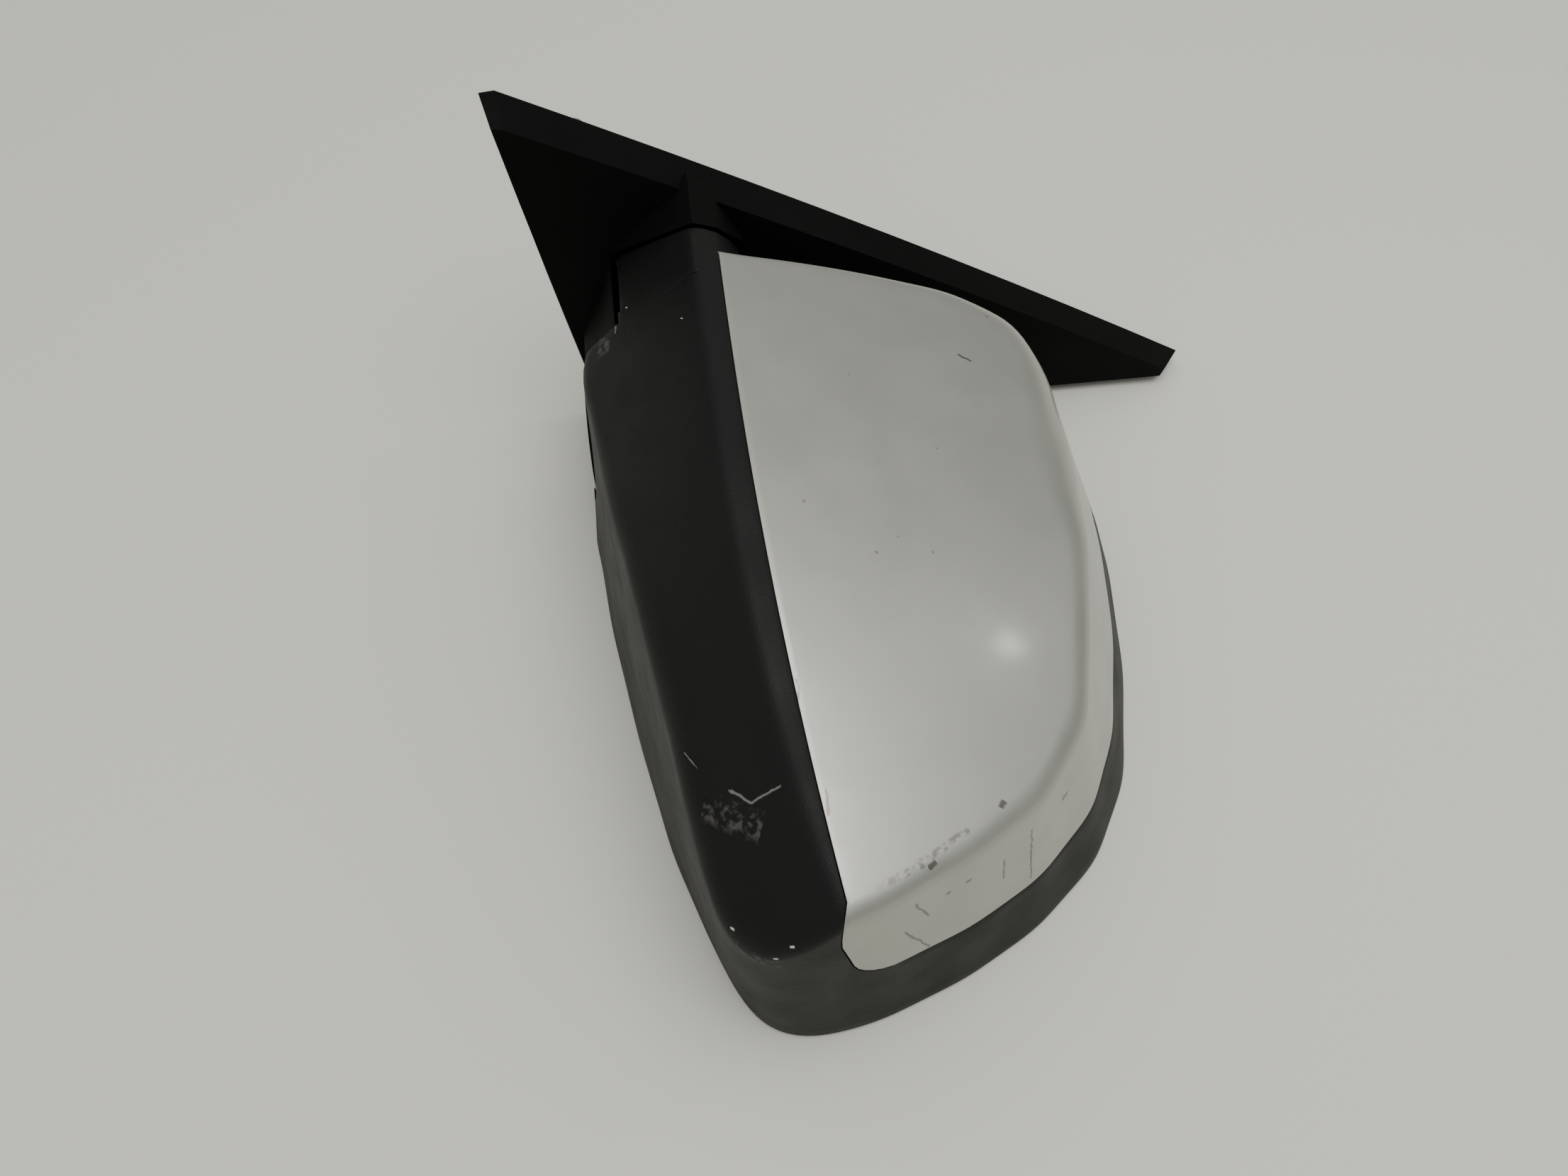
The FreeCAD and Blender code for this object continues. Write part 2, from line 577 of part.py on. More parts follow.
DISC_COUNT = 4
DISC_INNER = TUBE_RADIUS + 0.2
DISC_OUTER = 18.0
DISC_THICK = 0.9
DISC_RISE = 0.7
DISC_START = HUB_TOP + 1.4
discs = []
for number in range(DISC_COUNT):
    low = number * (DISC_THICK + DISC_RISE + 0.02)
    inner_rise, outer_rise = (DISC_RISE, 0.0) if number % 2 == 0 else (0.0, DISC_RISE)
    section = [Vector(DISC_INNER, 0, low + inner_rise), Vector(DISC_OUTER, 0, low + outer_rise),
               Vector(DISC_OUTER, 0, low + outer_rise + DISC_THICK),
               Vector(DISC_INNER, 0, low + inner_rise + DISC_THICK)]
    disc = Part.Face(Part.makePolygon(section + section[:1])).revolve(Vector(), Vector(0, 0, 1), 360)
    disc.translate(on_axis(DISC_START))
    discs.append(disc)
feature("disc_springs", Part.makeCompound(discs))

CUP_UP = DISC_START + DISC_COUNT * (DISC_THICK + DISC_RISE + 0.02) + 0.1
ring("spring_washer", "18.5", "Sizes.tube_radius + 0.2", "1.6", on_axis(CUP_UP))
ring("retaining_ring", "Sizes.tube_radius + 3.0", "Sizes.tube_radius", "1.5", on_axis(CUP_UP + 1.7))

# ---------------------------------------------------------------- housing frame
FRAME_AHEAD = CASE_FRONT
frame_plan = [(60, 22), (60, 60), (84, 134), (184, 124), (204, 76), (192, 32), (150, 23), (110, 19)]
plate_corners = [at(out, up, FRAME_AHEAD) for out, up in frame_plan + frame_plan[:1]]
frame_plate = Part.Face(Part.makePolygon(plate_corners))
frame_plate = frame_plate.extrude(Vector(0, PLATE - 0.5, 0))
LIGHTENING = ((138, 86, 18), (104, 58, 9), (172, 58, 9), (104, 112, 9), (170, 112, 9))
lightening = [rod(at(out, up, FRAME_AHEAD - 1), at(out, up, FRAME_AHEAD + 5), radius)
              for out, up, radius in LIGHTENING]
for hole in lightening:
    frame_plate = frame_plate.cut(hole)
hub = rod(on_axis(HUB_BOTTOM), on_axis(HUB_TOP), size("hub_radius"))
arm = block(at(PIVOT_OUT, HUB_BOTTOM + 2, 38), at(64, HUB_TOP, 54))
ribs = [block(at(62, up, FRAME_AHEAD), at(192, up + 2.5, FRAME_AHEAD + 10)) for up in (38, 70)]
frame = fused([hub, arm, frame_plate] + ribs)
bush_seat = rod(on_axis(HUB_BOTTOM - 1), on_axis(HUB_TOP + 1), bush_outer)
frame = frame.cut(bush_seat)
for hole in lightening[1:]:
    frame = frame.cut(hole)
for angle in BALL_ANGLES:
    spoke = Rotation(Vector(0, 0, 1), angle).multVec(Vector(DETENT_TRACK, 0, 0))
    frame = frame.cut(Part.makeSphere(BALL_RADIUS + 0.02, on_axis(BALL_UP) + spoke))
for out, up in FRAME_SCREWS:
    frame = frame.cut(rod(at(out, up, FRAME_AHEAD - 1), at(out, up, FRAME_AHEAD + 12), FRAME_SCREW + 0.2))
    frame = frame.cut(rod(at(out, up, FRAME_AHEAD + PLATE - 0.5), at(out, up, FRAME_AHEAD + 12),
                          POST_RADIUS + 0.3))
CASE_SCREWS = [Rotation(Vector(0, 1, 0), angle).multVec(Vector(CASE_RADIUS - 5.5, 0, 0))
               for angle in (50, 170, 290)]
case_centre = at(GLASS_OUT, GLASS_UP, CASE_AHEAD)
for spoke in CASE_SCREWS:
    start = case_centre + spoke
    frame = frame.cut(rod(start, start + Vector(0, 40, 0), 1.9))
feature("housing_frame", max(frame.Solids, key=lambda solid: solid.Volume))
ahead_way = Vector(0, 1, 0)
frame_screws = [pan_head_screw(at(out, up, FRAME_AHEAD), ahead_way, 14.0, FRAME_SCREW, 4.2)
                for out, up in FRAME_SCREWS]
feature("frame_screws", Part.makeCompound(frame_screws))

# ---------------------------------------------------------------- glass actuator
CASE_WALL = 2.0
SIDE = Vector(1, 0, 0)
UP = Vector(0, 0, 1)
AHEAD = Vector(0, 1, 0)


def in_case(x, z, ahead):
    """A point of the actuator from its centre: x along the car-side way, z up."""
    return at(GLASS_OUT - x, GLASS_UP + z, ahead)


WHEEL_SPOTS = {"tilt": (0.0, ARM), "pan": (-ARM, 0.0)}
LID = 3.0
PIN_RADIUS = 1.2
POST_NEAR = 22.8
POST_FAR = 26.6
POST_HALF = 3.5

lid = rod(in_case(0, 0, CASE_AHEAD), in_case(0, 0, CASE_AHEAD + LID), CASE_RADIUS)
for side in (-1, 1):
    lid = lid.fuse(block(in_case(side * POST_NEAR, -POST_HALF, GIMBAL_AHEAD - 3),
                         in_case(side * POST_FAR, POST_HALF, CASE_AHEAD + 1)))
    lid = lid.cut(rod(in_case(side * (POST_NEAR - 1), 0, GIMBAL_AHEAD),
                      in_case(side * (POST_FAR + 1), 0, GIMBAL_AHEAD), PIN_RADIUS))
for x, z in WHEEL_SPOTS.values():
    lid = lid.cut(rod(in_case(x, z, CASE_AHEAD - 1), in_case(x, z, CASE_AHEAD + LID + 1), 4.6))
drum = rod(in_case(0, 0, CASE_AHEAD + LID), in_case(0, 0, CASE_FRONT), CASE_RADIUS)
drum = drum.cut(rod(in_case(0, 0, CASE_AHEAD), in_case(0, 0, CASE_FRONT - CASE_WALL),
                    CASE_RADIUS - CASE_WALL))
for spoke in CASE_SCREWS:
    start = case_centre + spoke
    drum = drum.fuse(rod(start + AHEAD * LID, start + AHEAD * (CASE_FRONT - CASE_AHEAD), 3.6))
for spoke in CASE_SCREWS:
    start = case_centre + spoke
    drum = drum.cut(rod(start, start + AHEAD * 40, 1.9))
    lid = lid.cut(rod(start - AHEAD, start + AHEAD * 40, 1.9))
for x, z in WHEEL_SPOTS.values():
    guide = rod(in_case(x, z, CASE_FRONT - 6.0), in_case(x, z, CASE_FRONT - CASE_WALL + 0.1), 5.6)
    drum = drum.fuse(guide.cut(rod(in_case(x, z, CASE_FRONT - 8), in_case(x, z, CASE_FRONT), 4.6)))
CONNECTOR = 16.0
CONNECTOR_START = CASE_AHEAD + 8.0
CONNECTOR_END = CASE_AHEAD + 16.0
SOCKET_WALL = 1.2
SOCKET_PLAY = 0.1


def connector_block(margin, low, high):
    """A block through the case's lower edge, smaller than the connector's opening by margin."""
    return block(in_case(-CONNECTOR / 2 + margin, low - CASE_RADIUS, CONNECTOR_START + margin),
                 in_case(CONNECTOR / 2 - margin, high - CASE_RADIUS, CONNECTOR_END - margin))


drum = drum.cut(connector_block(0.0, -2, 5))
feature("actuator_lid", lid)
feature("actuator_case", drum)
socket = connector_block(SOCKET_PLAY, -4, 4).cut(connector_block(SOCKET_PLAY + SOCKET_WALL, -5, 2))
feature("actuator_socket", socket)
screw_length = CASE_FRONT - CASE_AHEAD + 3.0
case_screws = [pan_head_screw(case_centre + spoke, AHEAD, screw_length, 1.7, 3.2) for spoke in CASE_SCREWS]
feature("actuator_screws", Part.makeCompound(case_screws))

PITCH_RADIUS = size("wheel_pitch_radius")
TEETH = int(size("wheel_teeth"))
TIP_RADIUS = PITCH_RADIUS + 0.6
ROOT_RADIUS = PITCH_RADIUS - 0.8
WHEEL_AHEAD = CASE_AHEAD + 10.6
WHEEL_WIDTH = 5.0
SCREW_MAJOR = 3.2
WORM_RADIUS = size("worm_radius")
WORM_CORE = 1.4
WORM_DISTANCE = size("worm_distance")
WORM_LENGTH = 12.0
THREAD_PITCH = 2 * math.pi * PITCH_RADIUS / TEETH
MOTOR_RADIUS = 7.2
MOTOR_LENGTH = 21.0
SHAFT_RADIUS = 1.0


def worm_wheel(towards):
    """Worm wheel about +Y with a gap facing one direction; its hub carries the jackscrew thread."""
    blank = Part.makeCylinder(ROOT_RADIUS, WHEEL_WIDTH, Vector(0, -WHEEL_WIDTH / 2, 0), AHEAD)
    half_root = math.radians(360.0 / TEETH) * 0.27
    half_tip = math.radians(360.0 / TEETH) * 0.13
    teeth = []
    start = math.atan2(towards.z, towards.x)
    for number in range(TEETH):
        middle = start + math.radians(360.0 / TEETH) * (number + 0.5)
        corners = [(ROOT_RADIUS - 0.5, -half_root), (TIP_RADIUS, -half_tip), (TIP_RADIUS, half_tip),
                   (ROOT_RADIUS - 0.5, half_root)]
        points = [Vector(radius * math.cos(middle + turn), -WHEEL_WIDTH / 2, radius * math.sin(middle + turn))
                  for radius, turn in corners]
        teeth.append(Part.Face(Part.makePolygon(points + points[:1])).extrude(AHEAD * WHEEL_WIDTH))
    hub_part = Part.makeCylinder(4.5, 15.4, Vector(0, -9.0, 0), AHEAD)
    wheel = blank.multiFuse(teeth + [hub_part])
    return wheel.cut(Part.makeCylinder(SCREW_MAJOR + 0.1, 30, Vector(0, -15, 0), AHEAD))


def worm(axis, towards):
    """Single-start worm about an axis, with its thread's crest facing the wheel at mid length."""
    core = Part.makeCylinder(WORM_CORE, WORM_LENGTH)
    half = 0.35
    turns = WORM_LENGTH - 3.0
    helix = Part.makeHelix(THREAD_PITCH, turns, WORM_CORE - 0.2)
    profile = Part.makePolygon([Vector(WORM_CORE - 0.2, 0, -half), Vector(WORM_RADIUS, 0, -half * 0.6),
                                Vector(WORM_RADIUS, 0, half * 0.6), Vector(WORM_CORE - 0.2, 0, half),
                                Vector(WORM_CORE - 0.2, 0, -half)])
    thread = Part.Wire(helix.Edges).makePipeShell([profile], True, True)
    thread.translate(Vector(0, 0, 1.5))
    crest_turn = 360.0 * (WORM_LENGTH / 2 - 1.5) / THREAD_PITCH
    solid = core.fuse(thread)
    solid.rotate(Vector(0, 0, 0), Vector(0, 0, 1), -crest_turn)
    solid.translate(Vector(0, 0, -WORM_LENGTH / 2))
    turn = Rotation(towards, Vector(0, 0, 0), axis, "ZXY")
    solid.Placement = Placement(Vector(0, 0, 0), turn).multiply(solid.Placement)
    return solid


def motor(start, axis):
    """Small can motor with an end boss; its shaft goes into the worm."""
    can = rod(start, start + axis * MOTOR_LENGTH, MOTOR_RADIUS)
    can = can.makeFillet(0.8, can.Edges)
    tail = rod(start + axis * (MOTOR_LENGTH - 0.1), start + axis * (MOTOR_LENGTH + 1.2), 2.5)
    nose = rod(start - axis * 1.0, start + axis * 0.1, 2.5)
    return can.multiFuse([tail, nose])


WORM_AXES = {"tilt": SIDE, "pan": UP}
MOTOR_WAYS = {"tilt": SIDE, "pan": UP.negative()}
for name, (x, z) in WHEEL_SPOTS.items():
    centre = in_case(x, z, WHEEL_AHEAD)
    to_worm = (in_case(0, 0, WHEEL_AHEAD) - centre).normalize()
    wheel = worm_wheel(to_worm)
    wheel.translate(centre)
    feature(name + "_wheel", wheel)
    screw_worm = worm(WORM_AXES[name], to_worm.negative())
    worm_centre = centre + to_worm * WORM_DISTANCE
    screw_worm.translate(worm_centre)
    feature(name + "_worm", screw_worm)
    way = MOTOR_WAYS[name]
    feature(name + "_motor", motor(worm_centre + way * (WORM_LENGTH / 2 + 2.8), way))
    ball_spot = in_case(x, z, GIMBAL_AHEAD)
    screw = Part.makeSphere(3.0, ball_spot).fuse(rod(ball_spot, ball_spot + AHEAD * 8.0, 1.9))
    screw = screw.fuse(rod(ball_spot + AHEAD * 7.0, in_case(x, z, CASE_FRONT - 8.0), SCREW_MAJOR))
    feature(name + "_jackscrew", screw)

# ---------------------------------------------------------------- gimbal ring and its pins
RING_OUTER = 22.0
RING_INNER = 15.5
RING_HEIGHT = 4.0
ring_low = in_case(0, 0, GIMBAL_AHEAD - RING_HEIGHT / 2)
gimbal = rod(ring_low, ring_low + AHEAD * RING_HEIGHT, RING_OUTER).cut(
    rod(ring_low - AHEAD, ring_low + AHEAD * (RING_HEIGHT + 1), RING_INNER))
gimbal = gimbal.cut(rod(in_case(-30, 0, GIMBAL_AHEAD), in_case(30, 0, GIMBAL_AHEAD), PIN_RADIUS + RUNNING))
gimbal = gimbal.cut(rod(in_case(0, -30, GIMBAL_AHEAD), in_case(0, 30, GIMBAL_AHEAD), PIN_RADIUS))
feature("gimbal_ring", gimbal)
tilt_pins = [rod(in_case(side * (RING_INNER + 1.5), 0, GIMBAL_AHEAD),
                 in_case(side * POST_FAR, 0, GIMBAL_AHEAD), PIN_RADIUS) for side in (-1, 1)]
feature("tilt_pins", Part.makeCompound(tilt_pins))
BOSS_RADIUS = 13.0
pan_pins = [rod(in_case(0, side * (BOSS_RADIUS - 5), GIMBAL_AHEAD),
                in_case(0, side * RING_OUTER, GIMBAL_AHEAD), PIN_RADIUS) for side in (-1, 1)]
feature("pan_pins", Part.makeCompound(pan_pins))

# ---------------------------------------------------------------- mirror glass and its holder
GLASS_AHEAD = size("glass_ahead")
GLASS_THICK = size("glass_thickness")
GLASS_INSET = 19.4
INNER_DRAW = 9.0
INNER_REACH = 60.0
HEATER = 0.4
HOLDER = 2.2


def glass_slab(start, thickness, inset):
    """A slab with the plan's outline, drawn in by inset, starting at one distance ahead."""
    share = GLASS_AHEAD / SHOULDER_AHEAD
    centre = at(GLASS_OUT, GLASS_UP, start)
    points = []
    for (rim_out, rim_up), (top_out, top_up) in zip(RIM_PLAN, SHOULDER_PLAN):
        out = rim_out + (top_out - rim_out) * share
        out += INNER_DRAW * max(0.0, 1 - (out - PIVOT_OUT) / INNER_REACH)
        edge = at(out, rim_up + (top_up - rim_up) * share, start)
        spoke = edge - centre
        points.append(centre + spoke * (1 - inset / spoke.Length))
    return Part.Face(Part.Wire(closed_spline(points).toShape())).extrude(AHEAD * thickness)


feature("mirror_glass", glass_slab(GLASS_AHEAD, GLASS_THICK, GLASS_INSET))
heater_start = GLASS_AHEAD + GLASS_THICK
feature("heater_pad", glass_slab(heater_start, HEATER, GLASS_INSET + 2.5))
holder_start = heater_start + HEATER
holder = glass_slab(holder_start, HOLDER, GLASS_INSET)
rim_edge = glass_slab(GLASS_AHEAD + 0.6, HOLDER + HEATER + GLASS_THICK - 0.6, GLASS_INSET - 1.8)
rim_edge = rim_edge.cut(glass_slab(GLASS_AHEAD - 1, 20, GLASS_INSET))
boss_top = GIMBAL_AHEAD + 3.5
boss = rod(in_case(0, 0, holder_start + 0.5), in_case(0, 0, boss_top), BOSS_RADIUS)
boss = boss.cut(rod(in_case(0, 0, holder_start + HOLDER), in_case(0, 0, boss_top + 1), BOSS_RADIUS - 5.0))
boss = boss.cut(rod(in_case(0, -30, GIMBAL_AHEAD), in_case(0, 30, GIMBAL_AHEAD), PIN_RADIUS + RUNNING))
pieces = [holder, rim_edge, boss]
CUP_OUTER = 5.6
CUP_INNER = 4.1
for x, z in WHEEL_SPOTS.values():
    low = in_case(x - CUP_OUTER, z - CUP_OUTER, holder_start + 0.5)
    high = in_case(x + CUP_OUTER, z + CUP_OUTER, GIMBAL_AHEAD + 1.5)
    pocket_low = in_case(x - CUP_INNER, z - CUP_INNER, GIMBAL_AHEAD - 3.6)
    pocket_high = in_case(x + CUP_INNER, z + CUP_INNER, GIMBAL_AHEAD + 5)
    pieces.append(block(low, high).cut(block(pocket_low, pocket_high)))
RIB_WIDTH = 1.6
rib_start = holder_start + 1
rib_end = holder_start + HOLDER + 2
stiffeners = [block(in_case(-70, z, rib_start), in_case(70, z + RIB_WIDTH, rib_end)) for z in (-48, 52)]
stiffeners += [block(in_case(x, -46, rib_start), in_case(x + RIB_WIDTH, 53, rib_end)) for x in (-62, 60)]
inside_edge = glass_slab(holder_start, 10.0, GLASS_INSET + 3.0)
holder = fused(pieces + [stiffener.common(inside_edge) for stiffener in stiffeners])
TERMINALS = [(-8, -62), (8, -62)]
for x, z in TERMINALS:
    holder = holder.cut(block(in_case(x - 3.4, z - 1, holder_start - 1),
                              in_case(x + 3.4, z + 1, holder_start + 9)))
feature("glass_holder", max(holder.Solids, key=lambda solid: solid.Volume))
tabs = [block(in_case(x - 3.15, z - 0.4, holder_start), in_case(x + 3.15, z + 0.4, holder_start + 8))
        for x, z in TERMINALS]
feature("heater_terminals", Part.makeCompound(tabs))

# ---------------------------------------------------------------- check and write
doc.recompute()
for obj in doc.Objects:
    if "Invalid" in obj.State or "Error" in obj.State:
        raise RuntimeError("%s is %s" % (obj.Label, obj.State))
for obj in NODES:
    if obj.Shape.isNull() or not obj.Shape.isValid():
        raise RuntimeError("%s has no valid shape" % obj.Label)
for obj in NODES:
    obj.Shape.exportStep("parts/%s.step" % obj.Label)
print("%d sub-parts written" % len(NODES))
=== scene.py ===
"""Looks of the left-hand door mirror: shells as smooth meshes, materials, floor, light, camera."""
import json
import math
import bpy
import bmesh
import numpy as np
from mathutils import Matrix, Vector


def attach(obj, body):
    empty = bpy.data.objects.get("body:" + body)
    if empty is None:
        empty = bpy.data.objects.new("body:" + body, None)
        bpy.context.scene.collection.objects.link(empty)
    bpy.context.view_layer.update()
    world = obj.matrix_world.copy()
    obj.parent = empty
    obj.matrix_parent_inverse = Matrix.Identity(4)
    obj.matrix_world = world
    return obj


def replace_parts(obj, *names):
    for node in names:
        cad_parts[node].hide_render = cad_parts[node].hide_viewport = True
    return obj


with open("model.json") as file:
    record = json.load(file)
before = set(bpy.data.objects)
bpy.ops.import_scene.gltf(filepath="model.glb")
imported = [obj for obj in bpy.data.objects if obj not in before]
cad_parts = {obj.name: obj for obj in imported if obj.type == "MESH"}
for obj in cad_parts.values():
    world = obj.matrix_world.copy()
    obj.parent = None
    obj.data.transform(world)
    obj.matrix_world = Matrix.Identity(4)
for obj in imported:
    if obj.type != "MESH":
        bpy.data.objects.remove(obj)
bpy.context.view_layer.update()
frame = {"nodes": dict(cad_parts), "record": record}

MM = 0.001
# Working distances in millimetres: out from the base's outer face, up from its lower rear
# corner, ahead of the rim plane.  The frame's origin is the centre of the studs.
BASE_DEPTH = 12.0
ORIGIN_AHEAD = 60.0
ORIGIN_UP = 50.0
PIVOT_OUT = 38.0
PIVOT_AHEAD = 45.0
GLASS_OUT = 138.0
GLASS_UP = 86.0
FOOT_TOP = 11.0
FOLD_GAP = 1.5


def at(out, up, ahead):
    """A point of the frame in metres."""
    return Vector((-BASE_DEPTH - out, ahead - ORIGIN_AHEAD, up - ORIGIN_UP)) * MM


# ---------------------------------------------------------------- form of the housing
SHOULDER_AHEAD = 70.0
RIM_PLAN = [(46, -6.5), (93, -2.3), (140, 4.9), (182, 13.3), (212, 23), (230, 30.3), (241, 38.5),
            (245, 52), (242.5, 72), (232.6, 101), (219.4, 126.5), (200, 150), (173, 166.4),
            (132, 176.9), (88, 182.5), (58, 183), (42, 172), (38.5, 145), (38.5, 90), (38.5, 35),
            (38.5, 4)]
SHOULDER_PLAN = [(42, -1.8), (93, 3.6), (140, 11), (182, 18), (213, 23), (231, 27.5), (240, 36),
                 (242, 50), (237.5, 69), (223.7, 98), (209, 120), (187, 137), (160, 145.5),
                 (125, 153.3), (86, 156.5), (55, 155), (37, 146), (31, 125), (31, 82), (31, 44),
                 (29.5, 14), (29, 1)]
SAMPLES = 720
HARMONICS = 26


def smooth_loop(points):
    """A closed smooth curve through a few points: even samples, then only its low harmonics."""
    ring = np.array(points + points[:1], dtype=float)
    steps = np.concatenate([[0.0], np.cumsum(np.linalg.norm(np.diff(ring, axis=0), axis=1))])
    even = np.linspace(0, steps[-1], SAMPLES, endpoint=False)
    flat = np.interp(even, steps, ring[:, 0]) + 1j * np.interp(even, steps, ring[:, 1])
    waves = np.fft.fft(flat)
    order = np.abs(np.fft.fftfreq(SAMPLES, 1.0 / SAMPLES))
    waves *= np.exp(-(order / HARMONICS) ** 4)
    curve = np.fft.ifft(waves)
    return np.stack([curve.real, curve.imag], axis=1)


RIM_CURVE = smooth_loop(RIM_PLAN)
TOP_CURVE = smooth_loop(SHOULDER_PLAN)


RIDGE_START = 15.0
RIDGE_LENGTH = 223.0
RIDGE_UP = 39.0
RIDGE_RISE = 20.0
RIDGE_RISE_POWER = 3.2
RIDGE_AHEAD = 117.0
RIDGE_DROP = 32.0
RIDGE_DROP_POWER = 2.6
CAP_EDGE_UP = 46.6
CAP_EDGE_RISE = 13.4
UPPER_SLOPE = 0.22
UPPER_CURVE = 0.0006
LOWER_SLOPE = 0.90
LOWER_SLOPE_LOSS = 0.22
LOWER_CURVE = 0.002
RIDGE_SOFTNESS = 1.1


def along_length(out):
    """Share of the housing's length: 0 at the inner end, 1 near the tip."""
    return np.maximum(0.0, (out - RIDGE_START) / RIDGE_LENGTH)


def ridge(out):
    """Height and distance ahead of the front's ridge."""
    share = along_length(out)
    return (RIDGE_UP + RIDGE_RISE * share ** RIDGE_RISE_POWER,
            RIDGE_AHEAD - RIDGE_DROP * share ** RIDGE_DROP_POWER)


def cap_edge(out):
    """Height of the cap's lower edge on the front."""
    return CAP_EDGE_UP + CAP_EDGE_RISE * along_length(out) ** RIDGE_DROP_POWER


def upper_face(out, up):
    """Distance ahead of the front's face above the ridge."""
    ridge_up, top = ridge(out)
    rise = up - ridge_up
    return top - UPPER_SLOPE * rise - UPPER_CURVE * rise * np.abs(rise)


def lower_face(out, up):
    """Distance ahead of the front's face below the ridge."""
    ridge_up, top = ridge(out)
    fall = ridge_up - up
    slope = LOWER_SLOPE - LOWER_SLOPE_LOSS * along_length(out) ** 2
    return top - slope * fall - LOWER_CURVE * fall * np.abs(fall)


def soft_lower(first, second):
    """The lower of two faces, with a soft ridge between them."""
    half = 0.5 * (first - second)
    return 0.5 * (first + second) - np.sqrt(half * half + RIDGE_SOFTNESS ** 2) + RIDGE_SOFTNESS * 0.5


def roof(out, up):
    """Distance ahead of the housing's front."""
    return soft_lower(upper_face(out, up), lower_face(out, up))


def polar(curve):
    """Radius of a closed plan curve as a function of the angle about the glass centre."""
    spokes = curve - np.array([GLASS_OUT, GLASS_UP])
    angles = np.arctan2(spokes[:, 1], spokes[:, 0])
    radii = np.hypot(spokes[:, 0], spokes[:, 1])
    order = np.argsort(angles)
    return lambda angle: np.interp(angle, angles[order], radii[order], period=2 * math.pi)


rim_radius = polar(RIM_CURVE)
top_radius = polar(TOP_CURVE)


def wall_point(angle, ahead, inset=0.0):
    """Plan position of the wall at one angle and distance ahead."""
    rim = rim_radius(angle)
    radius = rim + (top_radius(angle) - rim) * ahead / SHOULDER_AHEAD - inset
    return GLASS_OUT + radius * np.cos(angle), GLASS_UP + radius * np.sin(angle)


CORNER_LOWEST = 10.0
CORNER_HIGHEST = 122.0
HALVINGS = 40


def corner_ahead(angle):
    """Distance ahead at which the wall meets the roof, found by halving."""
    low = np.zeros_like(angle) + CORNER_LOWEST
    high = np.zeros_like(angle) + CORNER_HIGHEST
    for _ in range(HALVINGS):
        middle = 0.5 * (low + high)
        above = middle > roof(*wall_point(angle, middle))
        high = np.where(above, middle, high)
        low = np.where(above, low, middle)
    return 0.5 * (low + high)


def angle_to(out, up):
    """Angle of a plan point about the glass centre."""
    return math.atan2(up - GLASS_UP, out - GLASS_OUT)


# Angles of the four plan corners and of the cap's edge at the tip and at the inner end.
LOW_INNER = angle_to(38, 8)
LOW_TIP = angle_to(238, 34)
TOP_TIP = angle_to(207, 124)
TOP_INNER = angle_to(40, 150)
NECK = angle_to(31, 30)
SOFT_CORNER = angle_to(62, 152)
TIGHT_CORNER = angle_to(225, 95)
LEAST_ROUND = 3.0
TIP_ROUND = 4.0
SOFT_ROUND = 13.0
SOFT_WIDTH = 0.5
TIGHT_LOSS = 1.5
NECK_EDGE_ROUND = 0.8
NECK_EDGE_WIDTH = 0.17


def turn_between(angle, other):
    """Signed turn from one angle to another, the short way round."""
    return np.angle(np.exp(1j * (angle - other)))


def fillet_size(angle):
    """Rounding of the shoulder: most at the upper inner corner, least at the neck."""
    facing_tip = 0.5 + 0.5 * np.cos(angle)
    tight = 0.5 + 0.5 * np.cos(angle - TIGHT_CORNER)
    soft = np.exp(-(turn_between(angle, SOFT_CORNER) / SOFT_WIDTH) ** 2)
    rounding = LEAST_ROUND + TIP_ROUND * facing_tip + SOFT_ROUND * soft - TIGHT_LOSS * tight ** 4
    at_neck = np.exp(-(turn_between(angle, NECK) / NECK_EDGE_WIDTH) ** 4)
    return rounding - (rounding - NECK_EDGE_ROUND) * at_neck


def cap_crossing(start, end):
    """Angle between two angles at which the cap's edge crosses the top of the shoulder."""
    angles = np.linspace(start, end, 400)
    out, up = wall_point(angles, corner_ahead(angles), fillet_size(angles))
    above = up - cap_edge(out)
    order = np.argsort(above)
    return float(np.interp(0.0, above[order], angles[order]))


CAP_TIP = cap_crossing(angle_to(240, 45), angle_to(240, 80))
CAP_INNER = cap_crossing(angle_to(31, 36), angle_to(31, 60))
ACROSS_LOW = 22
ACROSS_TOP = 40
ALONG = 84
LOW_ROWS = 9
WALL_ROWS = 12
FILLET_ROWS = 10


def spread(start, end, count):
    """Even angles from start up to but not including end, anticlockwise."""
    turn = (end - start) % (2 * math.pi)
    return [start + turn * step / count for step in range(count)]


RING = np.array(spread(LOW_INNER, LOW_TIP, ALONG) + spread(LOW_TIP, CAP_TIP, ACROSS_LOW)
                + spread(CAP_TIP, TOP_TIP, ACROSS_TOP) + spread(TOP_TIP, TOP_INNER, ALONG)
                + spread(TOP_INNER, CAP_INNER, ACROSS_TOP) + spread(CAP_INNER, LOW_INNER, ACROSS_LOW))
ACROSS = ACROSS_LOW + ACROSS_TOP
CAP_START = ALONG + ACROSS_LOW
CAP_END = CAP_START + ACROSS_TOP + ALONG + ACROSS_TOP


SEAM_AHEAD = 27.9
SEAM_PER_OUT = 0.066
SEAM_PER_UP = -0.067


def seam_ahead(out, up):
    """Distance ahead of the cap's rear edge on the walls."""
    return SEAM_AHEAD + SEAM_PER_OUT * out + SEAM_PER_UP * up


def as_points(out, up, ahead):
    """Points as rows of out, up and ahead."""
    return np.stack([out, up, ahead + np.zeros_like(out)], axis=-1)


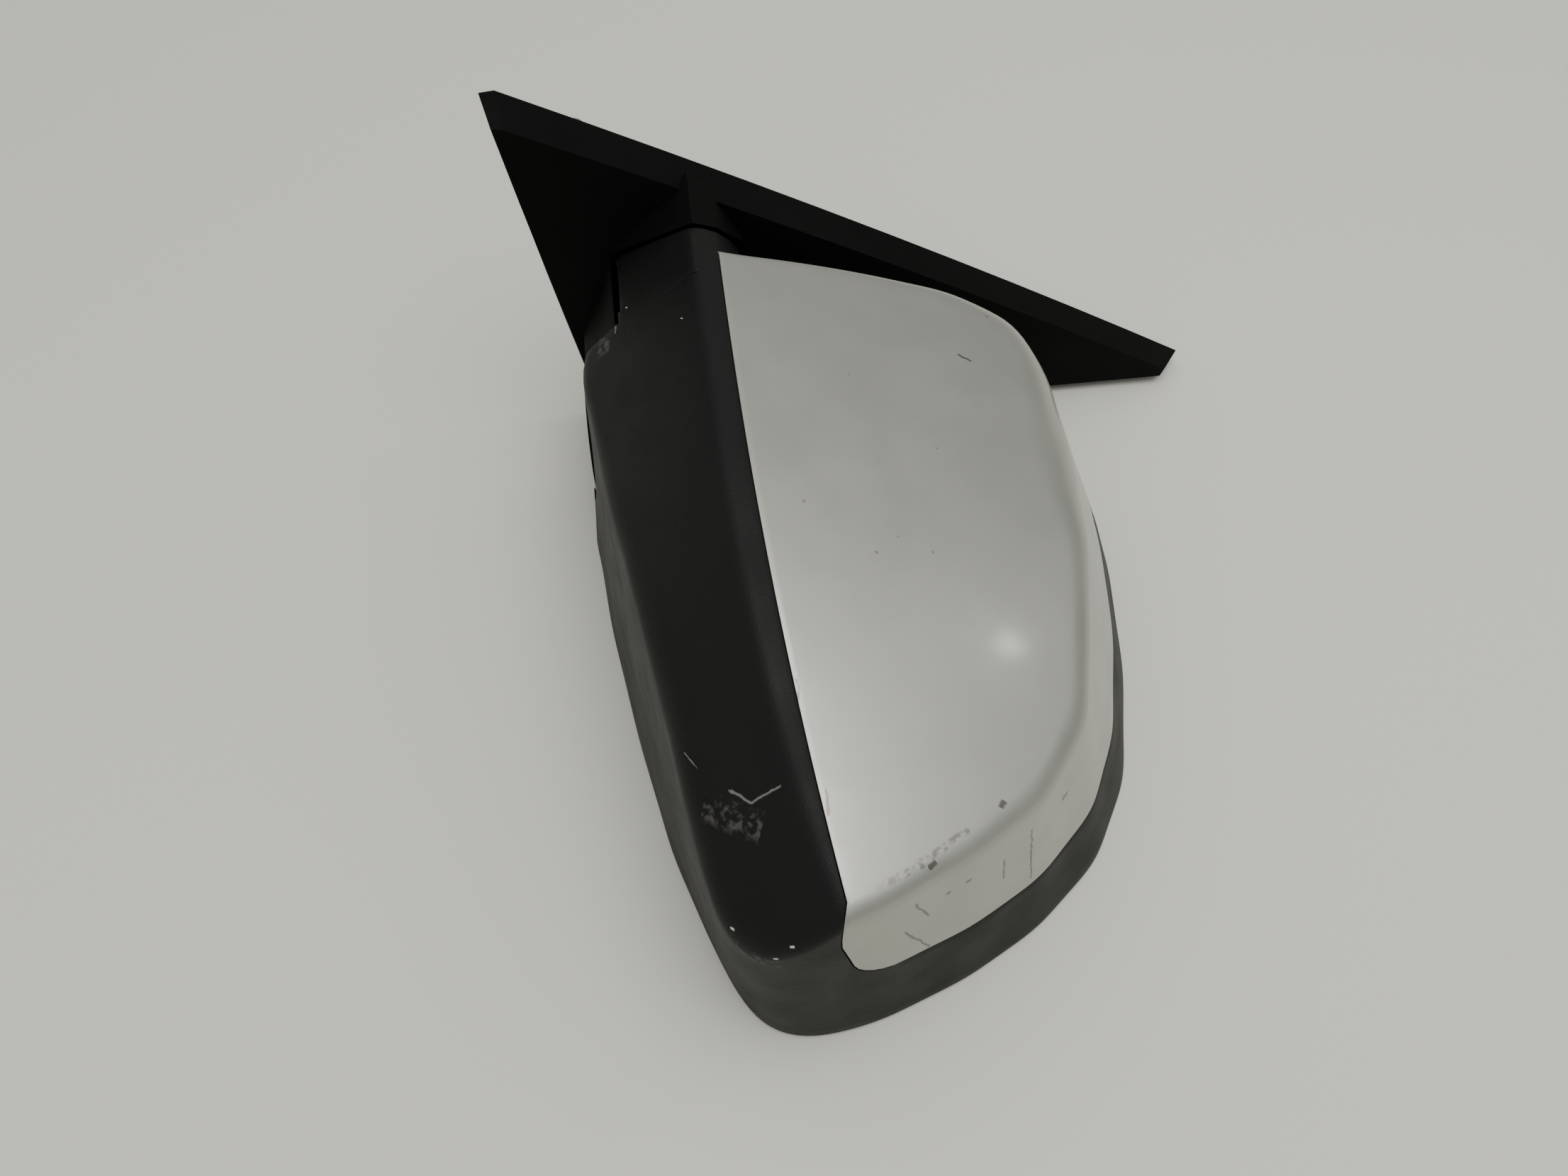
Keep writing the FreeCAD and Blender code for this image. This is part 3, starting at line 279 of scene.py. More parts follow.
# The rim's lip from inside to the wall: inset from the wall and distance ahead.
LIP = [(12.7, 4.2), (12.4, 2.6), (11.4, 0.9), (10.0, 0.3), (6.0, 0.0), (2.4, 0.0), (0.9, 0.3),
       (0.25, 1.0)]
LIP_TOP = 1.6
CORNER_ROUND = 13.0
CORNER_REACH = 26.0
CORNER_LEAN = 0.22
CORNER_LEAN_RISE = 30.0
TIP_RADIUS = 100.0
SEAM_GUESS = 32.0
WALL_CROWDING = 1.6
FILLET_START = 0.8


def leaned(rise):
    """Angles of the ring at one rise over the seam: the cap's corner at the tip is rounded off."""
    short = max(0.0, CORNER_ROUND - rise)
    inset = CORNER_ROUND - math.sqrt(CORNER_ROUND ** 2 - short ** 2)
    shift = (inset + CORNER_LEAN * max(0.0, CORNER_LEAN_RISE - rise)) / TIP_RADIUS
    steps = np.abs(np.arange(len(RING)) - CAP_START)
    return RING + shift * np.clip(1.0 - steps / CORNER_REACH, 0.0, 1.0)


def housing_rings():
    """Rings of points from the rim lip, up the wall and over the shoulder."""
    seam = seam_ahead(*wall_point(RING, SEAM_GUESS))
    corner = corner_ahead(RING)
    size = fillet_size(RING)
    rings = [as_points(*wall_point(RING, ahead, inset), ahead) for inset, ahead in LIP]
    for row in range(LOW_ROWS + 1):
        ahead = LIP_TOP + (seam - LIP_TOP) * row / LOW_ROWS
        angles = RING + (leaned(0.0) - RING) * row / LOW_ROWS
        rings.append(as_points(*wall_point(angles, ahead), ahead))
    start = corner - FILLET_START * size
    for row in range(1, WALL_ROWS + 1):
        ahead = seam + (start - seam) * (row / WALL_ROWS) ** WALL_CROWDING
        angles = leaned(float(ahead[CAP_START] - seam[CAP_START]))
        rings.append(as_points(*wall_point(angles, ahead), ahead))
    edge = rings[-1]
    out, up = wall_point(RING, corner)
    tip = as_points(out, up, corner)
    out, up = wall_point(RING, corner, size)
    inner = as_points(out, up, roof(out, up))
    for row in range(1, FILLET_ROWS + 1):
        share = row / FILLET_ROWS
        rest = 1 - share
        rings.append(rest ** 2 * edge + 2 * share * rest * tip + share ** 2 * inner)
    return rings


def shares_along(line):
    """Share of a line's length at each of its points."""
    steps = np.concatenate([[0.0], np.cumsum(np.linalg.norm(np.diff(line, axis=0), axis=1))])
    return steps / steps[-1]


def resample(line, steps, cut):
    """Spread a line's points again so that point ACROSS_LOW lies at the cut, a share of its length."""
    below = np.linspace(0, cut, ACROSS_LOW + 1)
    above = np.linspace(cut, 1, ACROSS_TOP + 1)[1:]
    wanted = np.concatenate([below, above])
    return np.stack([np.interp(wanted, steps, line[:, axis]) for axis in range(2)], axis=1)


def roof_grid(loop):
    """Grid of plan points inside a loop, with one column on the cap's edge."""
    low = loop[0:ALONG + 1]
    tip = loop[ALONG:ALONG + ACROSS + 1]
    top = loop[ALONG + ACROSS:2 * ALONG + ACROSS + 1][::-1]
    inner = np.concatenate([loop[2 * ALONG + ACROSS:], loop[:1]])[::-1]
    grid = np.zeros((ALONG + 1, ACROSS + 1, 2))
    for i in range(ALONG + 1):
        u = i / ALONG
        for j in range(ACROSS + 1):
            v = j / ACROSS
            grid[i, j] = ((1 - v) * low[i] + v * top[i] + (1 - u) * inner[j] + u * tip[j]
                          - (1 - u) * (1 - v) * low[0] - u * (1 - v) * low[-1]
                          - (1 - u) * v * top[0] - u * v * top[-1])
    for i in range(1, ALONG):
        line = grid[i]
        above = line[:, 1] - cap_edge(line[:, 0])
        steps = shares_along(line)
        cut = np.interp(0.0, above, steps)
        grid[i] = resample(line, steps, cut)
    return grid


def housing_faces():
    """All vertices and faces of the housing's skin; each face says whether the cap covers it."""
    rings = housing_rings()
    count = len(RING)
    verts = [at(*point) for ring in rings for point in ring]
    faces = []
    lip_rows = len(LIP) + LOW_ROWS
    for row in range(len(rings) - 1):
        for k in range(count):
            after = (k + 1) % count
            below = row * count
            above = below + count
            quad = (below + k, below + after, above + after, above + k)
            faces.append((quad, row >= lip_rows and CAP_START <= k < CAP_END))
    loop = rings[-1]
    grid = roof_grid(loop[:, :2])
    base = (len(rings) - 1) * count
    index = np.zeros((ALONG + 1, ACROSS + 1), dtype=int)
    for i in range(ALONG + 1):
        for j in range(ACROSS + 1):
            if j == 0:
                index[i, j] = base + i
            elif i == ALONG:
                index[i, j] = base + ALONG + j
            elif j == ACROSS:
                index[i, j] = base + 2 * ALONG + ACROSS - i
            elif i == 0:
                index[i, j] = base + (2 * (ALONG + ACROSS) - j) % count
            else:
                out, up = grid[i, j]
                index[i, j] = len(verts)
                verts.append(at(out, up, float(roof(out, up))))
    for i in range(ALONG):
        for j in range(ACROSS):
            quad = (index[i, j], index[i + 1, j], index[i + 1, j + 1], index[i, j + 1])
            faces.append((tuple(int(n) for n in quad), j >= ACROSS_LOW))
    return verts, faces


def new_object(name, mesh_data, material=None):
    """A smooth shaded object from a bmesh, which is freed."""
    mesh = bpy.data.meshes.new(name)
    mesh_data.to_mesh(mesh)
    mesh_data.free()
    for polygon in mesh.polygons:
        polygon.use_smooth = True
    obj = bpy.data.objects.new(name, mesh)
    bpy.context.scene.collection.objects.link(obj)
    if material:
        mesh.materials.append(material)
    return obj


def mesh_from(verts, faces):
    """A bmesh from vertices and index tuples, without loose vertices."""
    work = bmesh.new()
    made = [work.verts.new(vert) for vert in verts]
    for face in faces:
        work.faces.new([made[n] for n in face])
    bmesh.ops.delete(work, geom=[vert for vert in work.verts if not vert.link_faces], context="VERTS")
    return work


def draw_back(work, distance):
    """Moves all open edges of a skin inwards, which leaves a gap at the seam."""
    moves = {}
    for vert in work.verts:
        if vert.is_boundary:
            inner = [edge.other_vert(vert) for edge in vert.link_edges if not edge.is_boundary]
            if inner:
                way = sum((other.co - vert.co for other in inner), Vector())
                moves[vert] = way.normalized() * distance
    for vert, move in moves.items():
        vert.co += move


SHARP_ANGLE = 50.0


def thicken(obj, thickness):
    """Gives a skin a wall on its inner side."""
    solid = obj.modifiers.new("wall", "SOLIDIFY")
    solid.thickness = thickness * MM
    solid.offset = -1.0
    solid.use_even_offset = True


def round_edges(obj, bevel):
    """Rounds the sharp edges."""
    edge = obj.modifiers.new("edge", "BEVEL")
    edge.width = bevel * MM
    edge.segments = 2
    edge.limit_method = "ANGLE"
    edge.angle_limit = math.radians(SHARP_ANGLE)
    edge.harden_normals = False


# ---------------------------------------------------------------- neck stub of the housing
NECK_LOW = FOOT_TOP + FOLD_GAP
NECK_BACK = 10.0
NECK_OUT = 36.0
NECK_LEVELS = 64
NECK_ROWS = 12
NECK_ROUND = 0.8
NECK_TOP = 62.0
NECK_SAMPLES = 1200
NECK_CROWDING = 1.7
NECK_SECTION_OUT = 20.0
PEAK_SHORT = 0.02
SEAM_BEND_AHEAD = 93.0
SEAM_SLOPE = 15.0 / 24.0
RIGHT_FLANK_UP = [12.0, 39.0, 43.0, 47.3, 51.8, 55.5, 59.0, 62.0]
RIGHT_FLANK_AHEAD = [134.7, 117.2, 114.6, 110.0, 101.0, 90.0, 75.0, 60.0]


def neck_height(up):
    """Distance ahead of the neck's outline at one height up."""
    left = lower_face(NECK_SECTION_OUT, up)
    right = np.interp(up, RIGHT_FLANK_UP, RIGHT_FLANK_AHEAD, left=200.0, right=8.0)
    return soft_lower(left, right)


def seam_out(ahead):
    """Distance out at which the neck starts, a fold gap from the base."""
    if ahead >= SEAM_BEND_AHEAD:
        return FOLD_GAP + (ahead - SEAM_BEND_AHEAD) * SEAM_SLOPE
    if ahead >= PIVOT_AHEAD:
        return FOLD_GAP
    reach = PIVOT_OUT - FOLD_GAP
    return PIVOT_OUT - math.sqrt(reach ** 2 - (PIVOT_AHEAD - ahead) ** 2)


def neck_levels():
    """Levels ahead with the section's low and high edge at each, rounded at the low corner."""
    ups = np.linspace(NECK_LOW, NECK_TOP, NECK_SAMPLES)
    tops = neck_height(ups)
    peak = int(np.argmax(tops))
    top = float(tops[peak])
    shares = np.linspace(0.0, 1.0, NECK_LEVELS)
    levels = NECK_BACK + (top - PEAK_SHORT - NECK_BACK) * (1 - (1 - shares) ** NECK_CROWDING)
    rows = []
    for level in levels:
        low = float(np.interp(level, tops[:peak + 1], ups[:peak + 1], left=NECK_LOW))
        half = 0.5 * (low - NECK_LOW)
        low = NECK_LOW + half + math.sqrt(half * half + NECK_ROUND ** 2)
        high = float(np.interp(-level, -tops[peak:], ups[peak:]))
        rows.append((float(level), min(low, ups[peak]), high))
    return rows


def neck_skin():
    """Vertices and faces of the neck: flanks, end face at the seam and back."""
    verts = []
    faces = []
    rows = neck_levels()
    for level, low, high in rows:
        start = seam_out(level)
        for edge in (low, high):
            for step in range(NECK_ROWS + 1):
                verts.append(at(start + (NECK_OUT - start) * step / NECK_ROWS, edge, level))
    width = NECK_ROWS + 1

    def face(*corners):
        faces.append(tuple((level * 2 + side) * width + step for level, side, step in corners))

    for low in range(len(rows) - 1):
        high = low + 1
        for step in range(NECK_ROWS):
            after = step + 1
            face((low, 0, step), (low, 0, after), (high, 0, after), (high, 0, step))
            face((low, 1, after), (low, 1, step), (high, 1, step), (high, 1, after))
        face((low, 0, 0), (high, 0, 0), (high, 1, 0), (low, 1, 0))
    top = len(rows) - 1
    for step in range(NECK_ROWS):
        after = step + 1
        face((top, 0, step), (top, 0, after), (top, 1, after), (top, 1, step))
        face((0, 0, after), (0, 0, step), (0, 1, step), (0, 1, after))
    return verts, faces


ROD_SIDES = 96


def cutter(name, shapes):
    """A hidden solid made of blocks and upright cylinders, used to cut skins."""
    work = bmesh.new()
    for kind, low, high in shapes:
        centre = (low + high) * 0.5
        size = high - low
        if kind == "block":
            made = bmesh.ops.create_cube(work, size=1.0)["verts"]
        else:
            made = bmesh.ops.create_cone(work, cap_ends=True, segments=ROD_SIDES, radius1=0.5,
                                         radius2=0.5, depth=1.0)["verts"]
        for vert in made:
            vert.co = Vector([abs(size[n]) * vert.co[n] for n in range(3)]) + centre
    obj = new_object(name, work)
    obj.hide_render = True
    obj.display_type = "WIRE"
    return obj


def cut_away(obj, tool):
    """Cuts a tool's space from a piece."""
    gone = obj.modifiers.new("cut", "BOOLEAN")
    gone.operation = "DIFFERENCE"
    gone.object = tool
    gone.solver = "EXACT"
    gone.use_self = True


# ---------------------------------------------------------------- materials
def feed(tree, socket, value):
    """Links a socket to an input, or sets the input to a plain value."""
    if isinstance(value, bpy.types.NodeSocket):
        tree.links.new(value, socket)
    else:
        socket.default_value = value


def node(tree, kind, **inputs):
    """A shader node with some of its inputs set."""
    made = tree.nodes.new(kind)
    for name, value in inputs.items():
        feed(tree, made.inputs[name], value)
    return made


def calculate(tree, kind, operation, *values):
    """A maths node with its inputs set in order."""
    made = tree.nodes.new(kind)
    made.operation = operation
    for socket, value in zip(made.inputs, values):
        feed(tree, socket, value)
    return made


NUMBER_MATHS = "ShaderNodeMath"
VECTOR_MATHS = "ShaderNodeVectorMath"
COAT_ROUGHNESS = 0.12


def paint(name, colour, roughness, metallic=0.0, specular=0.5, coat=0.0):
    """A plain material; returns it with its tree and shader."""
    material = bpy.data.materials.new(name)
    material.use_nodes = True
    shader = material.node_tree.nodes["Principled BSDF"]
    shader.inputs["Base Color"].default_value = (*colour, 1.0)
    shader.inputs["Roughness"].default_value = roughness
    shader.inputs["Metallic"].default_value = metallic
    shader.inputs["Specular IOR Level"].default_value = specular
    shader.inputs["Coat Weight"].default_value = coat
    shader.inputs["Coat Roughness"].default_value = COAT_ROUGHNESS
    return material, material.node_tree, shader


def place(tree):
    """Object position in metres."""
    return tree.nodes.new("ShaderNodeTexCoord").outputs["Object"]


def noise(tree, scale, detail=3.0):
    """A noise node over the object."""
    return node(tree, "ShaderNodeTexNoise", Vector=place(tree), Scale=scale, Detail=detail,
                Roughness=0.5)


def ramp(tree, value, low, high, start=0.0, end=1.0):
    """Maps a value from low..high onto start..end, clamped."""
    made = node(tree, "ShaderNodeMapRange", Value=value)
    made.inputs["From Min"].default_value = low
    made.inputs["From Max"].default_value = high
    made.inputs["To Min"].default_value = start
    made.inputs["To Max"].default_value = end
    return made.outputs["Result"]


# Inputs and output of a colour mix node.
MIX_FACTOR = 0
MIX_FIRST = 6
MIX_SECOND = 7
MIX_RESULT = 2


def mix(tree, factor, first, second):
    """Mix of two colours; each is a socket or three numbers."""
    made = tree.nodes.new("ShaderNodeMix")
    made.data_type = "RGBA"
    feed(tree, made.inputs[MIX_FACTOR], factor)
    for place_in, value in ((MIX_FIRST, first), (MIX_SECOND, second)):
        feed(tree, made.inputs[place_in], (*value, 1.0) if isinstance(value, tuple) else value)
    return made.outputs[MIX_RESULT]


def bump(tree, shader, height, depth):
    """Grain from a height, up to a depth in metres."""
    made = node(tree, "ShaderNodeBump", Height=height, Distance=depth, Strength=1.0)
    tree.links.new(made.outputs["Normal"], shader.inputs["Normal"])


TONE_SCALE = 22.0
SHINE_SCALE = 60.0
SHINE_CHANGE = 0.05


def speckled(name, colour, light, roughness, scale=900.0, depth=0.00008, metallic=0.0,
             specular=0.5, coat=0.0):
    """A material with a faint grain and a slow change of tone and shine."""
    material, tree, shader = paint(name, colour, roughness, metallic, specular, coat)
    slow = ramp(tree, noise(tree, TONE_SCALE).outputs["Fac"], 0.35, 0.7)
    tree.links.new(mix(tree, slow, colour, light), shader.inputs["Base Color"])
    if depth:
        bump(tree, shader, noise(tree, scale, 2.0).outputs["Fac"], depth)
    shine = ramp(tree, noise(tree, SHINE_SCALE).outputs["Fac"], 0.3, 0.7,
                 roughness - SHINE_CHANGE, roughness + SHINE_CHANGE)
    tree.links.new(shine, shader.inputs["Roughness"])
    return material


def wobbling(tree, amount, scale):
    """Object position in metres, shifted a little by noise so that marks look torn."""
    shift = calculate(tree, VECTOR_MATHS, "MULTIPLY_ADD", noise(tree, scale, 4.0).outputs["Color"],
                      (amount,) * 3, (-0.5 * amount,) * 3)
    return calculate(tree, VECTOR_MATHS, "ADD", place(tree), shift.outputs[0]).outputs[0]


def streaks(tree, position, marks):
    """Mask of straight marks; each is (start, end, half width) in millimetres of the frame."""
    total = None
    for start, end, half in marks:
        start = Vector(start) * MM
        end = Vector(end) * MM
        way = (end - start).normalized()
        spoke = calculate(tree, VECTOR_MATHS, "SUBTRACT", position, (start + end) * 0.5).outputs[0]
        off = calculate(tree, VECTOR_MATHS, "CROSS_PRODUCT", spoke, way).outputs[0]
        far = calculate(tree, VECTOR_MATHS, "LENGTH", off).outputs["Value"]
        along = calculate(tree, VECTOR_MATHS, "DOT_PRODUCT", spoke, way).outputs["Value"]
        reach = max((end - start).length * 0.5, half * MM)
        within = calculate(tree, NUMBER_MATHS, "COMPARE", along, 0.0, reach).outputs[0]
        near = ramp(tree, far, half * 0.5 * MM, half * MM, 1.0, 0.0)
        mark = product(tree, near, within)
        total = mark if total is None else calculate(tree, NUMBER_MATHS, "MAXIMUM", total, mark).outputs[0]
    return total


def product(tree, first, second):
    """Product of two values, each a socket or a number."""
    return calculate(tree, NUMBER_MATHS, "MULTIPLY", first, second).outputs[0]


def tinted(material, mask, colour, strength):
    """Lays a colour over a material's own where a mask says so."""
    tree = material.node_tree
    target = tree.nodes["Principled BSDF"].inputs["Base Color"]
    under = target.links[0].from_socket
    tree.links.new(mix(tree, product(tree, mask, strength), under, colour), target)


def linear(*srgb):
    """Linear colour from 8-bit display values."""
    return tuple(((value / 255 + 0.055) / 1.055) ** 2.4 if value > 10 else value / 255 / 12.92
                 for value in srgb)


grained = speckled("grained_black", linear(11, 11, 12), linear(17, 17, 17), 0.55, 1500.0, 0.00012,
                   specular=0.2)
base_black = speckled("base_black", linear(7, 7, 7), linear(10, 10, 10), 0.7, 1200.0, 0.0001, specular=0.08)
silver = speckled("silver_paint", linear(158, 158, 152), linear(163, 163, 157), 0.38, 2600.0, 0.0,
                  metallic=0.75, specular=0.5, coat=0.35)
rubber = speckled("seal_rubber", linear(16, 16, 16), linear(22, 22, 22), 0.85)
cast = speckled("die_cast", linear(130, 131, 132), linear(146, 147, 148), 0.5, 700.0, 0.0001,
                metallic=0.9)
steel = speckled("zinc_steel", linear(168, 170, 172), linear(190, 191, 193), 0.32, 600.0, 0.00002,
                 metallic=1.0)
nylon = speckled("filled_nylon", linear(30, 30, 31), linear(38, 38, 39), 0.55)
actuator_black = speckled("actuator_black", linear(22, 22, 23), linear(28, 28, 29), 0.5)
acetal = speckled("natural_acetal", linear(218, 215, 203), linear(228, 226, 216), 0.4, 500.0, 0.0)
motor_can = speckled("motor_can", linear(150, 152, 154), linear(165, 166, 168), 0.3, 500.0, 0.0,
                     metallic=1.0)
brass = speckled("brass", linear(190, 160, 95), linear(205, 178, 112), 0.3, 500.0, 0.0, metallic=1.0)
foil = speckled("heater_foil", linear(120, 92, 60), linear(140, 110, 74), 0.55, 500.0, 0.0)
mirror_silver = paint("mirror_glass", linear(205, 210, 210), 0.02, metallic=1.0)[0]
FINISHES = {"grained_black": grained, "silver_paint": silver, "seal_rubber": rubber, "die_cast": cast,
            "zinc_steel": steel, "filled_nylon": nylon, "actuator_black": actuator_black,
            "natural_acetal": acetal, "motor_can": motor_can, "brass": brass, "heater_foil": foil,
            "mirror_glass": mirror_silver}
for part in frame["record"]["subparts"]:
    obj = frame["nodes"][part["node"]]
    obj.data.materials.clear()
    obj.data.materials.append(FINISHES[part["material_slot"]])

# Wear: marks on the black tip and lower face, scuffs and nicks on the painted edge, and also a band
# of painted shade along the cap's crease at the tip.  Each mark is a start, an end and a half width, in
# millimetres of the frame.
black_tree = grained.node_tree
torn = wobbling(black_tree, 0.0016, 260.0)
patchy = ramp(black_tree, noise(black_tree, 420.0, 4.0).outputs["Fac"], 0.48, 0.62)
scratches = [((-190.1, -1.0, -33.4), (-211.0, 25.0, -16.9), 0.35),
             ((-196.3, 20.6, -28.2), (-202.1, 21.5, -25.1), 0.3),
             ((-211.0, 25.0, -16.9), (-216.4, 26.9, -11.6), 0.5),
             ((-216.4, 26.9, -11.6), (-215.1, 33.6, -3.5), 0.4),
             ((-13.9, 32.1, -36.6), (-46.6, 30.9, -38.9), 0.5),
             ((-30.0, 27.0, -40.4), (-44.0, 29.0, -40.0), 0.6)]
tinted(grained, streaks(black_tree, torn, scratches), linear(120, 120, 116), 0.75)
rubbed = [((-211.8, 18.2, -24.7), (-223.2, 25.6, -9.6), 5.0),
          ((-246.0, 2.0, -19.0), (-253.1, 4.7, -8.4), 3.5),
          ((-36.0, 25.0, -42.0), (-52.0, 26.0, -43.0), 4.0)]
tinted(grained, product(black_tree, streaks(black_tree, torn, rubbed), patchy), linear(92, 91, 88), 0.5)
chips = [((-251.7, 13.3, -5.6), (-252.0, 13.8, -4.5), 0.5), ((-252.5, 7.4, -10.0), (-252.8, 8.1, -8.7), 0.5),
         ((-242.5, 6.7, -20.3), (-243.4, 7.2, -19.4), 0.45),
         ((-62.5, 51.4, -17.2), (-63.2, 52.0, -16.6), 0.25),
         ((-39.4, 35.2, -34.6), (-40.3, 35.6, -34.1), 0.25)]
tinted(grained, streaks(black_tree, torn, chips), linear(205, 203, 198), 0.85)
silver_tree = silver.node_tree
torn = wobbling(silver_tree, 0.0018, 300.0)
patchy = ramp(silver_tree, noise(silver_tree, 500.0, 4.0).outputs["Fac"], 0.45, 0.58)
stain = [((-250.3, 20.0, 13.2), (-248.8, -5.2, 23.3), 5.5)]
tinted(silver, product(silver_tree, streaks(silver_tree, torn, stain), patchy), linear(168, 160, 128), 0.45)
scuffs = [((-214.5, 2.2, 77.1), (-211.9, 0.3, 79.7), 1.1), ((-223.2, 21.3, 55.0), (-221.3, 21.3, 56.6), 1.2),
          ((-224.6, 7.4, 65.4), (-228.1, -21.8, 68.8), 0.5), ((-231.0, 3.4, 56.8), (-232.3, -7.7, 57.9), 0.5),
          ((-238.3, 23.3, 32.4), (-236.9, 23.0, 35.0), 1.1), ((-238.0, 7.8, 43.8), (-236.9, 7.4, 46.0), 0.9),
          ((-240.7, 7.6, 38.3), (-240.0, 9.0, 39.4), 0.8), ((-247.1, -0.2, 26.4), (-245.2, -20.3, 35.6), 0.5),
          ((-244.7, 14.7, 28.3), (-243.6, 1.3, 33.5), 0.5), ((-72.9, 35.2, 70.3), (-75.3, 33.9, 74.2), 0.5)]
tinted(silver, streaks(silver_tree, torn, scuffs), linear(58, 58, 55), 0.8)
# Painted shade: a darker band along the cap's crease at the tip, broken up by patchy noise.
crease_shade = [((-246.0, 23.6, 10.0), (-238.4, 24.3, 28.6), 1.6),
              ((-238.4, 24.3, 28.6), (-229.0, 23.5, 45.0), 1.4)]
tinted(silver, product(silver_tree, streaks(silver_tree, torn, crease_shade), patchy), linear(80, 79, 74), 0.6)
specks = [((-112.0, 37.8, 55.9), (-112.3, 37.7, 56.1), 0.35),
          ((-134.3, 47.8, 12.2), (-134.6, 47.7, 12.4), 0.5),
          ((-149.8, 41.1, 31.3), (-150.2, 41.1, 31.5), 0.5),
          ((-148.4, 36.6, 48.4), (-148.8, 36.5, 48.6), 0.4),
          ((-144.3, 39.9, 38.3), (-144.6, 39.9, 38.5), 0.4), ((-86.7, 45.9, 32.3), (-87.2, 45.9, 32.6), 0.4),
          ((-53.3, 30.8, 83.9), (-53.9, 30.7, 84.4), 0.6), ((-188.6, 41.8, 3.6), (-194.6, 40.6, 3.5), 0.5),
          ((-218.2, 34.4, 7.8), (-224.5, 32.7, 7.9), 0.5)]
tinted(silver, streaks(silver_tree, torn, specks), linear(112, 98, 92), 0.75)
base_node = frame["nodes"]["base_cover"]
base_node.data.materials[0] = base_black

# ---------------------------------------------------------------- cap and black shell
skin_verts, skin_faces = housing_faces()
GAP = 0.45 * MM
CAP_WALL = 2.2
SHELL_WALL = 2.4
NECK_WALL = 2.0
EDGE_ROUND = 0.5
NECK_BEVEL = 0.15


def skin_side(covered):
    """The skin on one side of the parting line, as a bmesh."""
    return mesh_from(skin_verts, [face for face, is_cap in skin_faces if is_cap == covered])


cap_work = skin_side(True)
draw_back(cap_work, GAP)
cap = new_object("painted_cap", cap_work, silver)
thicken(cap, CAP_WALL)
round_edges(cap, EDGE_ROUND)
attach(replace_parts(cap, "cap"), "housing")

# Room for the base's foot, so that the skin clears it at every fold.
FOOT_TURN = 22.0
FOOT_ROOM_LOW = -3.5
turn = FOOT_TURN + FOLD_GAP
foot_room = cutter("foot_room", [
    ("rod", at(PIVOT_OUT - turn, FOOT_ROOM_LOW, PIVOT_AHEAD - turn),
     at(PIVOT_OUT + turn, NECK_LOW, PIVOT_AHEAD + turn)),
    ("block", at(-5, FOOT_ROOM_LOW, PIVOT_AHEAD), at(30 + FOLD_GAP, NECK_LOW, 130)),
    ("block", at(-5, FOOT_ROOM_LOW, 20), at(PIVOT_OUT, NECK_LOW, PIVOT_AHEAD + 1)),
    ("block", at(-5, -60, -5), at(PIVOT_OUT, NECK_LOW, 21))])

shell = new_object("housing_skin", skin_side(False), grained)
thicken(shell, SHELL_WALL)
cut_away(shell, foot_room)
round_edges(shell, EDGE_ROUND)
neck = new_object("neck_skin", mesh_from(*neck_skin()), grained)
thicken(neck, NECK_WALL)
round_edges(neck, NECK_BEVEL)
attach(neck, "housing")
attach(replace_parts(shell, "housing_shell"), "housing")

# ---------------------------------------------------------------- floor, light, camera
FLOOR = -ORIGIN_AHEAD * MM
FLOOR_DROP = 0.0004
bpy.ops.mesh.primitive_plane_add(size=8.0, location=(-0.13, FLOOR - FLOOR_DROP, 0.02),
                                 rotation=(-math.pi / 2, 0, 0))
floor = bpy.context.object
floor.name = "floor"
floor_paint, floor_tree, floor_shader = paint("floor_paint", linear(214, 214, 206), 0.9, specular=0.1)
# The floor is seen from above only, so that views from below aren't blocked.
clear = floor_tree.nodes.new("ShaderNodeBsdfTransparent")
blend = floor_tree.nodes.new("ShaderNodeMixShader")
facing = floor_tree.nodes.new("ShaderNodeNewGeometry")
feed(floor_tree, blend.inputs[0], facing.outputs["Backfacing"])
feed(floor_tree, blend.inputs[1], floor_shader.outputs[0])
feed(floor_tree, blend.inputs[2], clear.outputs[0])
feed(floor_tree, floor_tree.nodes["Material Output"].inputs[0], blend.outputs[0])
floor.data.materials.append(floor_paint)

